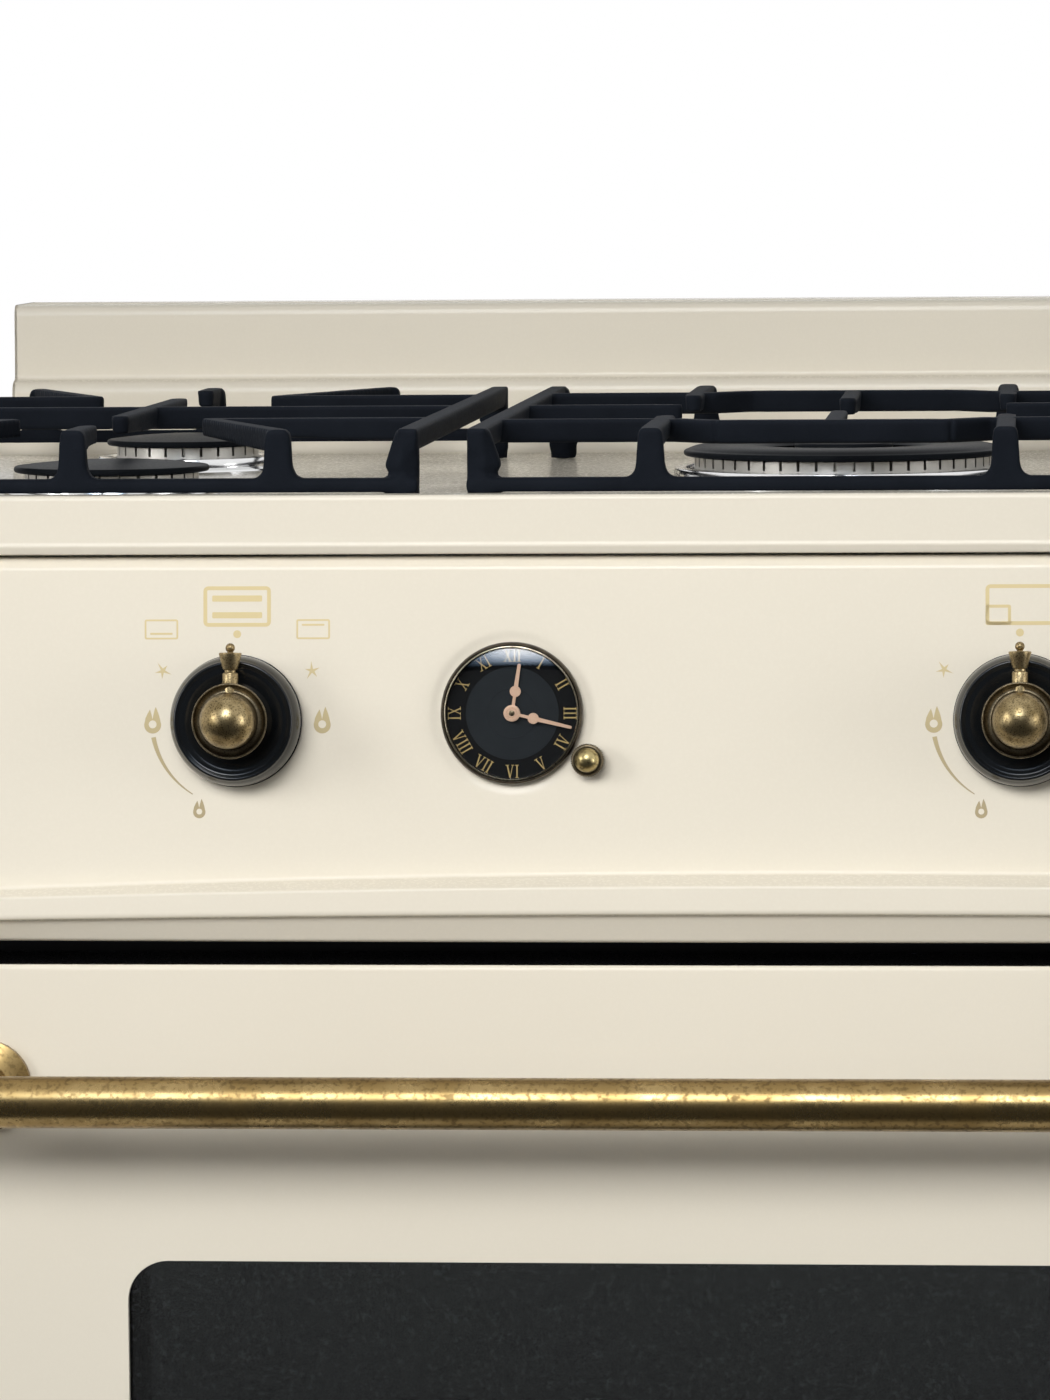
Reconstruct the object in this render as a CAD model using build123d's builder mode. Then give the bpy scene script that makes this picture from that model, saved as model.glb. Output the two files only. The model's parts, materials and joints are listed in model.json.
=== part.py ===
"""Freestanding gas range, 900 mm wide, with five burners, one oven and a storage drawer.

Frame: +X to the user's right, +Y to the wall, +Z up. The origin is on the floor, under
the middle of the whole object's box. Every length is in millimetres.
"""
from build123d import *
from math import atan2, cos, degrees, hypot, pi, radians, sin, tan
import os

os.makedirs("parts", exist_ok=True)

# Whole object
overall_width = 900.0
body_depth = 600.0           # door face to the rear edge of the side panels
rim_height = 900.0           # floor to the rim of the hob
sheet = 1.5                  # folded and enamelled steel sheet
moving_gap = 0.3             # clearance between pieces that move apart
shaft_gap = 0.05             # radial clearance of a shaft in its bore
half_width = overall_width / 2

# Feet and base
foot_height = 100.0
foot_radius = 20.0
foot_inset = 60.0
foot_flange_thickness = 4.0
foot_flange_radius = 30.0
base_upstand = 20.0

# Door
door_thickness = 38.0
door_side_gap = 2.0          # door edge to the side of the range
door_bottom = 240.0
door_seal_thickness = 4.0
handle_standoff = 45.0       # bar axis in front of the door face
handle_bar_radius = 10.0
handle_drop = 48.0           # bar axis below the door's top edge
handle_half_length = 375.0
bracket_half_spacing = 330.0

# Hob
apron_height = 23.3          # rim to the lower edge of the hob's skirt
apron_setback = 8.0          # skirt behind the door face
seam_gap = 1.0               # hob skirt to control panel
deck_recess = 8.0            # deck below the rim
rim_margin = 12.0            # rim width round the recessed deck
deck_depth = 505.0           # recessed deck, front to back

# Control panel
panel_height = 150.1
panel_lean = 4.8             # face leans back, degrees
panel_top_setback = 12.0     # top edge behind the door face
panel_bevel_height = 4.2
panel_bevel_run = 2.5
upper_line_drop = 122.9      # panel top to the start of the lip, at the centre
lower_line_drop = 126.4      # panel top to the front of the lip, at the centre
crease_drop = 137.8          # panel top to the lower edge of the lip, at the centre
lip_reach = 11.0             # lip in front of the door face, at the centre
upper_line_fall = 12.3       # how much lower each line is at the ends
lower_line_fall = 10.2
crease_fall = 5.8
lip_bow = 6.5                # how much less the lip reaches at the ends
door_gap = 8.2               # control panel to the door

# Controls on the panel, across from the centre of the range
axis_drop = 63.6             # knob axes below the panel's top
oven_knob_x = -230.0
burner_knob_x = [74.5, 154.5, 234.5, 314.5, 394.5]
clock_x = -122.5
clock_rise = 2.8             # clock centre above the knob axes
set_knob_offset = (29.7, -18.2)

# Knobs
base_flange_radius = 25.5
base_standoff = 3.4          # clear of the panel while it is pushed in
base_flange_round = 1.0
base_flange_front = 6.6      # end of the flange's upright edge
base_flank_radius = 24.5
base_flank_front = 10.8
base_disc_radius = 23.4
base_disc_front = 15.2
base_bead_width = 1.2        # raised bead round the edge of the disc
base_face_drop = 0.5         # disc behind the bead
base_dish_rim_radius = 18.0
base_dish_radius = 15.0
base_dish_depth = 2.4
neck_radius = 6.5
neck_hole_gap = 0.4
neck_length = 12.0
stem_radius = 4.0
stem_reach = 46.0            # stem behind the panel face
grip_back = 15.0
grip_waist_radius = 10.2
grip_shoulder_radius = 12.0
grip_shoulder_front = 17.2
grip_flange_radius = 14.5
grip_flange_back = 24.0
grip_flange_front = 26.0
grip_lip = 0.7               # width of the lip round the hollow
grip_hollow_radius = 12.2
grip_hollow_depth = 2.3
dome_radius = 10.8
dome_centre = 32.0
pointer_axis = 22.0
pointer_barrel_radius = 3.1
pointer_barrel_start = 9.0
pointer_barrel_end = 18.7
pointer_groove_radius = 2.2
pointer_groove_side = 0.4
pointer_cup_start = 20.1
pointer_cup_end = 26.0
pointer_cup_small_radius = 2.9
pointer_cup_large_radius = 4.2
pointer_cup_edge = 0.6
pointer_neck_radius = 1.0
pointer_neck_start = 0.2     # neck's start in front of the cup
pointer_ball_centre = 28.2
pointer_ball_radius = 1.8

# Clock
bezel_radius = 27.7
bezel_inner_radius = 25.6
bezel_height = 4.6
bezel_foot_height = 1.4
bezel_step_height = 2.0
bezel_step = 0.8
bezel_lip_height = 1.0
bezel_lip = 1.4
clock_hole_radius = 26.4
dial_radius = 26.0
dial_thickness = 1.0
dial_back = -2.2             # dial's rear face, from the panel face
glass_thickness = 1.0
glass_rise = 2.6             # height of the dome of the glass
movement_radius = 31.0
movement_depth = 26.0
movement_front = -2.2
movement_boss_radius = 9.0   # round the setting shaft
movement_bore_depth = 15.0
dial_hole_gap = 0.4
movement_seat_gap = 0.4
hour_tube_radius = 2.2
minute_arbor_radius = 1.2
hour_hand_level = -0.7
minute_hand_level = 0.6
hand_tube_depth = 12.0
hand_thickness = 0.6
hour_hand_length = 19.5
minute_hand_length = 24.0
hour_hand_angle = 8.5        # clockwise from the twelve
minute_hand_angle = 103.5
hand_hub_radius = 3.2
hand_disc_radius = 2.15
hand_disc_distance = 8.6
hand_half_width = 0.75
set_shaft_radius = 2.0
set_knob_collar_radius = 6.5
set_knob_dome_radius = 5.0
set_shaft_depth = 16.0
set_knob_back = 1.0
set_knob_collar_front = 7.0
set_knob_collar_round = 0.8
set_knob_front = 12.0

# Gas rail, taps and feed pipes
rail_radius = 9.0
rail_back = 62.0             # rail axis behind the panel face, at the knob axis
rail_below = 24.0            # rail axis below the knob axes
rail_half_length = 425.0
tap_width = 26.0
tap_front = 20.0
tap_back = 74.0
tap_top = 14.0
tap_bore_depth = 36.0
inlet_radius = 10.48         # outside of a G1/2 thread
inlet_length = 16.0
inlet_x = 385.0
rail_return_x = 427.0        # the rail's run to the back, beside the last tap
inlet_height = 640.0
feed_radius = 4.0
feed_bend = 9.0

# Burners: name, x, depth behind the front rail of the grates, cap radius
side_column_x = 296.0        # burners and grate at each side
front_burner_depth = 110.0
middle_burner_depth = 230.0
rear_burner_depth = 350.0
burner_sites = [
    ("left_front", -side_column_x, front_burner_depth, 40.0),
    ("left_rear", -side_column_x, rear_burner_depth, 36.0),
    ("centre", 0.0, middle_burner_depth, 68.0),
    ("right_rear", side_column_x, rear_burner_depth, 50.0),
    ("right_front", side_column_x, front_burner_depth, 28.0),
]
cup_margin = 8.0             # cup flange beyond the cap
cup_flange_thickness = 2.0
cup_depth = 32.0
cup_floor = 3.0
cup_taper = 0.6              # radius of the cup's underside, as a share of its body
cup_wall = 6.0
crown_hole_share = 0.45      # hole of a crown, as a share of its radius
crown_wall = 8.0             # wall of the centre crown's ring, inside its cap
crown_rise = 11.2            # crown's top above the deck
crown_inset = 4.5            # crown inside the cap's edge
cap_thickness = 2.6
cap_crown = 2.4              # how much the cap bulges
cap_spigot_length = 3.0
cap_spigot_gap = 2.0
cap_spigot_wall = 3.0
edge_share = 0.6             # upright edge of a cap, as a share of its thickness
port_width = 1.2
port_height = 4.0
port_length = 6.0
port_pitch = 8.0
inner_cap_radius = 21.0
inner_crown_radius = 16.0
inner_crown_bore = 9.0
ring_cap_hole_radius = 34.0

# Grates
grate_front_setback = 22.0   # front rail's face behind the door face
grate_length = 450.0
grate_height = 25.0          # above the rim
side_grate_half_width = 136.0
centre_grate_half_width = 141.0
rail_height = 5.5
bar_height = 9.5
bar_width = 8.0
post_width = 10.5
post_foot_width = 28.0
post_flare_height = 4.0
post_flare_width = 2.0
side_post_spacing = 81.0
near_finger_gap = 65.0       # end of a front or rear finger to the burner's axis
mid_finger_gap = 27.0        # end of a finger from the middle bar to the burner's axis
pad_inset = 1.0
corner_post_width = 13.0
pad_radius = 6.0
finger_reach = 41.0          # finger end to the burner's axis
centre_post_x = 69.0
centre_bar_depth = 88.0
centre_bar_step = 18.0
centre_bar_flat = 46.0
centre_arm_overrun = 30.0
wok_finger_reach = 72.0

# Backguard
backguard_width = 800.0
backguard_front = 530.0      # behind the door face
backguard_ledge_height = 26.0
backguard_ledge_depth = 9.0
backguard_height = 62.0
backguard_corner = 5.0

# Oven
oven_width = 740.0
oven_height = 372.0
oven_depth = 415.0
oven_floor_z = 292.0
floor_plate_rise = 42.0
burner_tube_radius = 8.0
burner_loop_width = 420.0
burner_loop_depth = 250.0
burner_loop_bend = 40.0
rack_level = 160.0           # rack above the oven's bottom
rack_depth = 345.0
rack_wire = 3.0
rack_rod = 1.6
rack_rod_pitch = 24.0
runner_wire = 2.5
runner_reach = 22.0
runner_levels = [90.0, 160.0, 230.0, 300.0]

# Drawer
drawer_bottom = 106.0
drawer_top = 234.0
drawer_front_depth = 20.0
drawer_box_depth = 490.0
drawer_box_half_width = 418.0
drawer_box_height = 86.0
drawer_runner_height = 12.0
drawer_runner_half_spacing = 380.0
drawer_handle_half_length = 200.0
drawer_handle_radius = 7.0

# Hinges
hinge_inset = 10.0           # pivot behind the door face and above its lower edge
hinge_x = 400.0
hinge_pin_radius = 4.0
hinge_arm_width = 8.0
hinge_pin_half_length = 15.0
hinge_ear_thickness = 3.0
hinge_notch_half_width = 8.0
hinge_strap_length = 120.0
hinge_strap_margin = 4.0     # strap wider than the notch, each side
hinge_strap_start = 22.0
hinge_arm_half_height = 5.0
hinge_ear_wall = 3.0
hinge_ear_depth = 6.0
hinge_ear_height = 30.0
hinge_notch_gap = 5.0
hinge_notch_top = 10.0       # top of the liner's notch above the pivot
hinge_foot_thickness = 3.0
hinge_foot_gap = 1.0
hinge_foot_low = 8.0
hinge_foot_high = 20.0
panel_edge_round = 3.0       # rounded front edges of the door and the drawer

screw_head_radius = 4.0
screw_head_height = 2.0

# Levels and planes that follow from the sizes above
front_reach = handle_standoff + handle_bar_radius
door_face = (front_reach - body_depth) / 2
rear_edge = door_face + body_depth
frame_face = door_face + door_thickness + door_seal_thickness
back_recess = 25.0
back_face = rear_edge - back_recess
skirt_face = door_face + apron_setback
skirt_bottom = rim_height - apron_height
deck_z = rim_height - deck_recess
panel_top = skirt_bottom - seam_gap
panel_bottom = panel_top - panel_height
door_top = panel_bottom - door_gap
lean = tan(radians(panel_lean))
panel_top_face = door_face + panel_top_setback
grate_front = door_face + grate_front_setback


def save(piece, label):
    """Name a finished piece and write it as its own file."""
    piece.part.label = label
    export_step(piece.part, f"parts/{label}.step")


def face_y(drop):
    """Front of the leaning panel at a drop below its top edge."""
    return panel_top_face - lean * (drop - panel_bevel_height)


normal = Vector(0, -cos(radians(panel_lean)), sin(radians(panel_lean)))
up_face = Vector(0, sin(radians(panel_lean)), cos(radians(panel_lean)))


def on_panel(x, drop, out=0.0, rise=0.0):
    """A point on the panel face, moved out along its normal and up along the face."""
    foot = Vector(x, face_y(drop), panel_top - drop)
    return foot + normal * out + up_face * rise


def face_plane(point):
    """A plane whose normal points out of the panel and whose Y runs up the face."""
    return Plane(origin=point, x_dir=(1, 0, 0), z_dir=normal)


def profile_plane(point):
    """A plane through an axis square to the panel: X is the radius, Y the height."""
    return Plane(origin=point, x_dir=(1, 0, 0), z_dir=up_face * -1)


def box_between(low, high, mode=Mode.ADD):
    """A box from its lowest corner to its highest corner."""
    size = [b - a for a, b in zip(low, high)]
    with Locations(tuple((a + b) / 2 for a, b in zip(low, high))):
        Box(*size, mode=mode)


def bar_between(start, end, low_z, high_z, width):
    """A straight upright-sided bar between two points of the plan."""
    run = hypot(end[0] - start[0], end[1] - start[1])
    turn = degrees(atan2(end[1] - start[1], end[0] - start[0]))
    middle = ((start[0] + end[0]) / 2, (start[1] + end[1]) / 2, (low_z + high_z) / 2)
    with Locations(Location(middle, (0, 0, turn))):
        Box(run, width, high_z - low_z)


# Side panels: folded sheet, with a flange turned inward at the front and at the rear
for side, name in ((-1, "side_panel_left"), (1, "side_panel_right")):
    flange_width = 18.0
    with BuildPart() as side_panel:
        box_between((side * half_width - sheet * (side > 0), frame_face, foot_height),
                    (side * half_width + sheet * (side < 0), rear_edge, skirt_bottom))
        inner = side * (half_width - sheet)
        for y in (frame_face, rear_edge - sheet):
            ends = sorted((inner, inner - side * flange_width))
            box_between((ends[0], y, foot_height), (ends[1], y + sheet, skirt_bottom))
    save(side_panel, name)

# Front frame: one sheet with the oven mouth, the drawer mouth and a window for the taps
frame_flange = 18.0
mouth_half_width = oven_width / 2
mouth_low = oven_floor_z
mouth_high = oven_floor_z + oven_height
drawer_mouth_half_width = 428.0
tap_window_margin = 12.0
drawer_mouth_margin = 5.0
frame_bottom = foot_height + sheet
frame_half_width = half_width - sheet - frame_flange
frame_back = frame_face + sheet
with BuildPart() as front_frame:
    box_between((-half_width + sheet, frame_back, frame_bottom),
                (half_width - sheet, frame_back + sheet, skirt_bottom))
    box_between((-frame_half_width, frame_face, frame_bottom),
                (frame_half_width, frame_back, skirt_bottom))
    box_between((-mouth_half_width, frame_face, mouth_low),
                (mouth_half_width, frame_back + sheet, mouth_high), Mode.SUBTRACT)
    box_between((-drawer_mouth_half_width, frame_face, drawer_bottom + drawer_mouth_margin),
                (drawer_mouth_half_width, frame_back + sheet, drawer_top - drawer_mouth_margin),
                Mode.SUBTRACT)
    box_between((-frame_half_width + tap_window_margin, frame_face,
                 panel_bottom + tap_window_margin),
                (frame_half_width - tap_window_margin, frame_back + sheet,
                 skirt_bottom - tap_window_margin), Mode.SUBTRACT)
save(front_frame, "front_frame")

# Base pan: floor of the drawer space, with upstands and two runners for the drawer
runner_half_width = 6.0
pan_back = back_face - sheet
with BuildPart() as base_pan:
    box_between((-half_width + sheet, frame_back, foot_height),
                (half_width - sheet, pan_back, frame_bottom))
    for side in (-1, 1):
        outer = side * (half_width - sheet)
        ends = sorted((outer, outer - side * sheet))
        box_between((ends[0], frame_back + sheet, frame_bottom),
                    (ends[1], pan_back, frame_bottom + base_upstand))
        runner = side * drawer_runner_half_spacing
        box_between((runner - runner_half_width, frame_back + sheet, frame_bottom),
                    (runner + runner_half_width, pan_back, frame_bottom + drawer_runner_height))
    box_between((-half_width + 2 * sheet, pan_back - sheet, frame_bottom),
                (half_width - 2 * sheet, pan_back, frame_bottom + base_upstand))
save(base_pan, "base_pan")

# Back panel: plain sheet with rows of vent slots, and holes for the gas and the mains
vent_length = 60.0
vent_height = 5.0
vent_pitch_x = 90.0
vent_pitch_z = 18.0
vent_columns = 6
vent_rows = 4
vent_centre_z = 800.0
inlet_hole_gap = 2.0
gland_x = -380.0
gland_z = 170.0
gland_thread_radius = 10.0
with BuildPart() as back_panel:
    box_between((-half_width + sheet, back_face - sheet, foot_height),
                (half_width - sheet, back_face, skirt_bottom))
    back_plane = Plane(origin=(0, back_face, 0), x_dir=(-1, 0, 0), z_dir=(0, 1, 0))
    with BuildSketch(back_plane):
        with Locations((0, vent_centre_z)):
            with GridLocations(vent_pitch_x, vent_pitch_z, vent_columns, vent_rows):
                SlotOverall(vent_length, vent_height)
        with Locations((-inlet_x, inlet_height)):
            Circle(rail_radius + inlet_hole_gap)
        with Locations((-gland_x, gland_z)):
            Circle(gland_thread_radius)
    extrude(amount=-sheet, mode=Mode.SUBTRACT)
save(back_panel, "back_panel")

# Feet: turned adjustable feet, with a flange under the base pan and a rubber-shod sole
foot_stem_radius = 10.0
foot_sole_height = 10.0
foot_sole_radius = 24.0
foot_sole_slope = 8.0
foot_sleeve_height = 38.0
foot_front = frame_face + foot_inset
foot_back = back_face - foot_inset
with BuildPart() as feet:
    with BuildSketch(Plane.XZ) as foot_profile:
        with BuildLine():
            Polyline((0, 0), (foot_sole_radius, 0), (foot_sole_radius, foot_sole_height),
                     (foot_stem_radius, foot_sole_height + foot_sole_slope),
                     (foot_stem_radius, foot_height / 2), (foot_radius, foot_height / 2),
                     (foot_radius, foot_height / 2 + foot_sleeve_height),
                     (foot_flange_radius, foot_height - foot_flange_thickness),
                     (foot_flange_radius, foot_height), (0, foot_height), close=True)
        make_face()
    one_foot = revolve(axis=Axis.Z, mode=Mode.PRIVATE)
    for x in (-half_width + foot_inset, half_width - foot_inset):
        for y in (foot_front, foot_back):
            add(one_foot.moved(Location((x, y, 0))))
save(feet, "feet")

# Oven liner: enamelled box behind the mouth, with a flange and a flue at the top rear
liner_flange = 14.0
flue_half_width = 60.0
flue_depth = 30.0
flue_inset = 20.0
flue_clearance = 12.0        # flue's roof below the deck
spout_gap = 2.0
rim_thickness = 3.5
flue_roof = deck_z - flue_clearance
flue_top = rim_height - rim_thickness
liner_front = frame_back + sheet
liner_back = liner_front + oven_depth
flue_front = liner_back - flue_inset - flue_depth
spout_front = door_face + backguard_front + backguard_ledge_depth + spout_gap
spout_back = back_face - sheet
with BuildPart() as oven_liner:
    box_between((-mouth_half_width - sheet, liner_front, mouth_low - sheet),
                (mouth_half_width + sheet, liner_back + sheet, mouth_high + sheet))
    box_between((-mouth_half_width - liner_flange, liner_front, mouth_low - liner_flange),
                (mouth_half_width + liner_flange, liner_front + sheet,
                 mouth_high + liner_flange))
    box_between((-flue_half_width, flue_front, mouth_high),
                (flue_half_width, flue_front + flue_depth, flue_roof))
    box_between((-flue_half_width, flue_front, flue_roof - flue_depth),
                (flue_half_width, spout_back, flue_roof))
    box_between((-flue_half_width, spout_front, flue_roof - flue_depth),
                (flue_half_width, spout_back, flue_top))
    box_between((-mouth_half_width, liner_front, mouth_low),
                (mouth_half_width, liner_back, mouth_high), Mode.SUBTRACT)
    box_between((-flue_half_width + sheet, flue_front + sheet, mouth_high),
                (flue_half_width - sheet, flue_front + flue_depth - sheet,
                 flue_roof - sheet), Mode.SUBTRACT)
    box_between((-flue_half_width + sheet, flue_front + sheet, flue_roof - flue_depth + sheet),
                (flue_half_width - sheet, spout_back - sheet, flue_roof - sheet),
                Mode.SUBTRACT)
    box_between((-flue_half_width + sheet, spout_front + sheet,
                 flue_roof - flue_depth + sheet),
                (flue_half_width - sheet, spout_back - sheet, flue_top), Mode.SUBTRACT)
save(oven_liner, "oven_liner")

# Oven burners: two looped steel tubes, one under the floor plate and one at the roof
loop_centre_y = liner_front + oven_depth / 2
bracket_width = 16.0
bracket_length = 8.0
lower_burner_rise = 18.0
upper_burner_drop = 22.0


def loop_burner(z, foot_end):
    """A rounded-rectangle tube with four brackets to the wall it is fixed to."""
    plane = Plane.XY.offset(z)
    with BuildPart() as loop:
        with BuildLine(plane):
            half_w, half_d = burner_loop_width / 2, burner_loop_depth / 2
            corners = [(-half_w, loop_centre_y - half_d), (half_w, loop_centre_y - half_d),
                       (half_w, loop_centre_y + half_d), (-half_w, loop_centre_y + half_d)]
            route = FilletPolyline(*corners, radius=burner_loop_bend, close=True)
        with BuildSketch(Plane(origin=route @ 0, z_dir=route % 0)):
            Circle(burner_tube_radius)
        sweep(path=route)
        low_z, high_z = sorted((z, foot_end))
        for x in (-half_w, half_w):
            box_between((x - bracket_length / 2, loop_centre_y - bracket_width / 2, low_z),
                        (x + bracket_length / 2, loop_centre_y + bracket_width / 2, high_z))
        box_between((-bracket_length / 2, loop_centre_y + half_d, z - bracket_length / 2),
                    (bracket_length / 2, liner_back, z + bracket_length / 2))
    return loop


with BuildPart() as oven_burners:
    add(loop_burner(mouth_low + lower_burner_rise, mouth_low).part)
    add(loop_burner(mouth_high - upper_burner_drop, mouth_high).part)
save(oven_burners, "oven_burners")

# Oven floor plate: pressed tray over the lower burner, slotted along its edges
plate_side_gap = 3.0
plate_top = mouth_low + floor_plate_rise
plate_slot_length = 50.0
plate_slot_width = 8.0
plate_slots = 7
plate_slot_pitch = 90.0
plate_slot_margin = 30.0
plate_front_gap = 6.0
with BuildPart() as oven_floor_plate:
    plate_half = mouth_half_width - plate_side_gap
    plate_front = liner_front + plate_front_gap
    plate_rear = liner_back - plate_side_gap
    box_between((-plate_half, plate_front, mouth_low), (plate_half, plate_rear, plate_top))
    box_between((-plate_half + sheet, plate_front + sheet, mouth_low),
                (plate_half - sheet, plate_rear - sheet, plate_top - sheet), Mode.SUBTRACT)
    with BuildSketch(Plane.XY.offset(plate_top)):
        with Locations((0, (plate_front + plate_rear) / 2)):
            with GridLocations(plate_slot_pitch, plate_rear - plate_front
                               - 2 * plate_slot_margin, plate_slots, 2):
                SlotOverall(plate_slot_length, plate_slot_width)
    extrude(amount=-sheet, mode=Mode.SUBTRACT)
    box_between((-bracket_length, plate_rear - sheet, mouth_low),
                (bracket_length, plate_rear, mouth_low + lower_burner_rise + bracket_length),
                Mode.SUBTRACT)
save(oven_floor_plate, "oven_floor_plate")

# Shelf runners: a bent wire ladder on each side wall of the oven
runner_front_gap = 30.0
runner_rear_gap = 12.0
upright_low_margin = 60.0
upright_high_margin = 20.0
runner_front = liner_front + runner_front_gap
runner_rear = liner_back - runner_rear_gap
upright_length = oven_height - upright_low_margin - upright_high_margin
with BuildPart() as shelf_runners:
    for side in (-1, 1):
        wall = side * mouth_half_width
        upright_x = wall - side * runner_wire
        for y in (runner_front, runner_rear):
            with Locations((upright_x, y, mouth_low + upright_low_margin + upright_length / 2)):
                Cylinder(runner_wire, upright_length)
        for level in runner_levels:
            reach_x = wall - side * runner_reach
            for y in (runner_front, runner_rear):
                with Locations(Location(((upright_x + reach_x) / 2, y, mouth_low + level),
                                        (0, 90, 0))):
                    Cylinder(runner_wire, abs(reach_x - upright_x))
            with Locations(Location((reach_x, (runner_front + runner_rear) / 2,
                                     mouth_low + level), (90, 0, 0))):
                Cylinder(runner_wire, runner_rear - runner_front + 2 * runner_wire)
save(shelf_runners, "shelf_runners")

# Oven rack: chromed wire shelf that slides on the second pair of runners
rack_half_width = mouth_half_width - runner_wire * 2 - rack_wire - moving_gap
rack_z = mouth_low + rack_level + runner_wire + rack_wire + moving_gap
rack_rear_gap = 22.0
rack_rod_margin = 10.0
rack_rear = liner_back - rack_rear_gap
rack_front = rack_rear - rack_depth
rack_rods = int(2 * (rack_half_width - rack_rod_margin) / rack_rod_pitch)
with BuildPart() as oven_rack:
    for y in (rack_front, rack_rear):
        with Locations(Location((0, y, rack_z), (0, 90, 0))):
            Cylinder(rack_wire, 2 * rack_half_width)
    for x in (-rack_half_width, rack_half_width):
        with Locations(Location((x, (rack_front + rack_rear) / 2, rack_z), (90, 0, 0))):
            Cylinder(rack_wire, rack_depth)
        for y in (rack_front, rack_rear):
            with Locations((x, y, rack_z)):
                Sphere(rack_wire)
    with Locations((0, (rack_front + rack_rear) / 2, rack_z)):
        with GridLocations(rack_rod_pitch, 1, rack_rods, 1):
            Cylinder(rack_rod, rack_depth, rotation=(90, 0, 0))
save(oven_rack, "oven_rack")

# Door seal: rubber loop round the oven mouth, pressed on the front frame
seal_inset = 6.0
seal_width = 9.0
seal_corner = 10.0
seal_front = frame_face - door_seal_thickness + moving_gap
with BuildPart() as door_seal:
    with BuildSketch(Plane.XZ.offset(-frame_face)):
        with Locations((0, (mouth_low + mouth_high) / 2)):
            RectangleRounded(oven_width + 2 * (seal_inset + seal_width),
                             oven_height + 2 * (seal_inset + seal_width),
                             seal_corner + seal_width)
            RectangleRounded(oven_width + 2 * seal_inset, oven_height + 2 * seal_inset,
                             seal_corner, mode=Mode.SUBTRACT)
    extrude(amount=frame_face - seal_front)
save(door_seal, "door_seal")

# Hob top: one pressed tray, with a skirt all round, a recessed deck and burner holes
skirt_corner = 4.0
deck_front = skirt_face + rim_margin
deck_half_width = half_width - rim_margin
deck_corner = 14.0
with BuildPart() as hob_top:
    box_between((-half_width, skirt_face, skirt_bottom), (half_width, rear_edge, rim_height))
    fillet(hob_top.edges().filter_by(Axis.Z).group_by(Axis.Y)[0], skirt_corner)
    fillet(hob_top.edges().group_by(Axis.Z)[-1], skirt_corner)
    box_between((-half_width + sheet, skirt_face + sheet, skirt_bottom),
                (half_width - sheet, rear_edge - sheet, rim_height - rim_thickness),
                Mode.SUBTRACT)
    with BuildSketch(Plane.XY.offset(deck_z - sheet)):
        with Locations((0, deck_front + deck_depth / 2)):
            RectangleRounded(2 * (deck_half_width + sheet), deck_depth + 2 * sheet,
                             deck_corner + sheet)
    extrude(amount=deck_recess)
    with BuildSketch(Plane.XY.offset(deck_z)):
        with Locations((0, deck_front + deck_depth / 2)):
            RectangleRounded(2 * deck_half_width, deck_depth, deck_corner)
    extrude(amount=deck_recess, mode=Mode.SUBTRACT)
    with BuildSketch(Plane.XY.offset(deck_z)):
        for _, x, depth, cap_radius in burner_sites:
            with Locations((x, grate_front + depth)):
                Circle(cap_radius)
    extrude(amount=-sheet, mode=Mode.SUBTRACT)
    box_between((-flue_half_width + sheet, spout_front + sheet, rim_height - rim_thickness),
                (flue_half_width - sheet, spout_back - sheet, rim_height), Mode.SUBTRACT)
save(hob_top, "hob_top")

# Backguard: low enamelled upstand behind the deck, stepped, with vent slots on its top
guard_front = door_face + backguard_front
guard_half = backguard_width / 2
guard_top = rim_height + backguard_height
ledge_z = rim_height + backguard_ledge_height
guard_slot_length = 40.0
guard_slot_width = 6.0
guard_slot_pitch = 80.0
guard_slots = 8
guard_step_y = guard_front + backguard_ledge_depth
with BuildPart() as backguard:
    with BuildSketch(Plane.YZ) as guard_profile:
        with BuildLine():
            Polyline((guard_front, rim_height), (guard_front, ledge_z), (guard_step_y, ledge_z),
                     (guard_step_y, guard_top), (rear_edge, guard_top), (rear_edge, rim_height),
                     close=True)
        make_face()
        fillet(guard_profile.vertices().group_by(Axis.Y)[-1], backguard_corner)
        fillet(guard_profile.vertices().sort_by(Axis.X)[:2].sort_by(Axis.Y)[-1],
               backguard_corner)
    extrude(amount=guard_half, both=True)
    box_between((-guard_half + sheet, guard_step_y + sheet, rim_height),
                (guard_half - sheet, rear_edge - sheet, guard_top - 2 * sheet), Mode.SUBTRACT)
    with BuildSketch(Plane.XY.offset(guard_top)):
        with Locations((0, (guard_step_y + rear_edge) / 2)):
            with GridLocations(guard_slot_pitch, 1, guard_slots, 1):
                SlotOverall(guard_slot_length, guard_slot_width)
    extrude(amount=-2 * sheet, mode=Mode.SUBTRACT)
save(backguard, "backguard")

# Control panel: folded sheet whose face leans back and whose lip is bowed and arched
panel_open_back = 1.0
hole_cut_front = 5.0         # cuts through the face start this far in front of it
hole_cut_length = 12.0


def panel_outline(x, wall):
    """Corners of the panel's section at x, moved inward by the wall, back edge first."""
    share = (x / half_width) ** 2
    reach = lip_reach - lip_bow * share
    upper = upper_line_drop + upper_line_fall * share
    lower = lower_line_drop + lower_line_fall * share
    crease = crease_drop + crease_fall * share
    lip_front = door_face - reach
    rear = frame_face + (panel_open_back if wall else 0.0)
    return [
        (rear, panel_top - wall),
        (panel_top_face + panel_bevel_run + wall / 2, panel_top - wall),
        (panel_top_face + wall, panel_top - panel_bevel_height - wall / 2),
        (face_y(upper) + wall, panel_top - upper + wall / 4),
        (lip_front + lean * (crease - lower) + wall, panel_top - lower - wall / 2),
        (lip_front + wall, panel_top - crease + wall / 2),
        (door_face + wall / 2, panel_bottom + wall),
        (rear, panel_bottom + wall),
    ]


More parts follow.
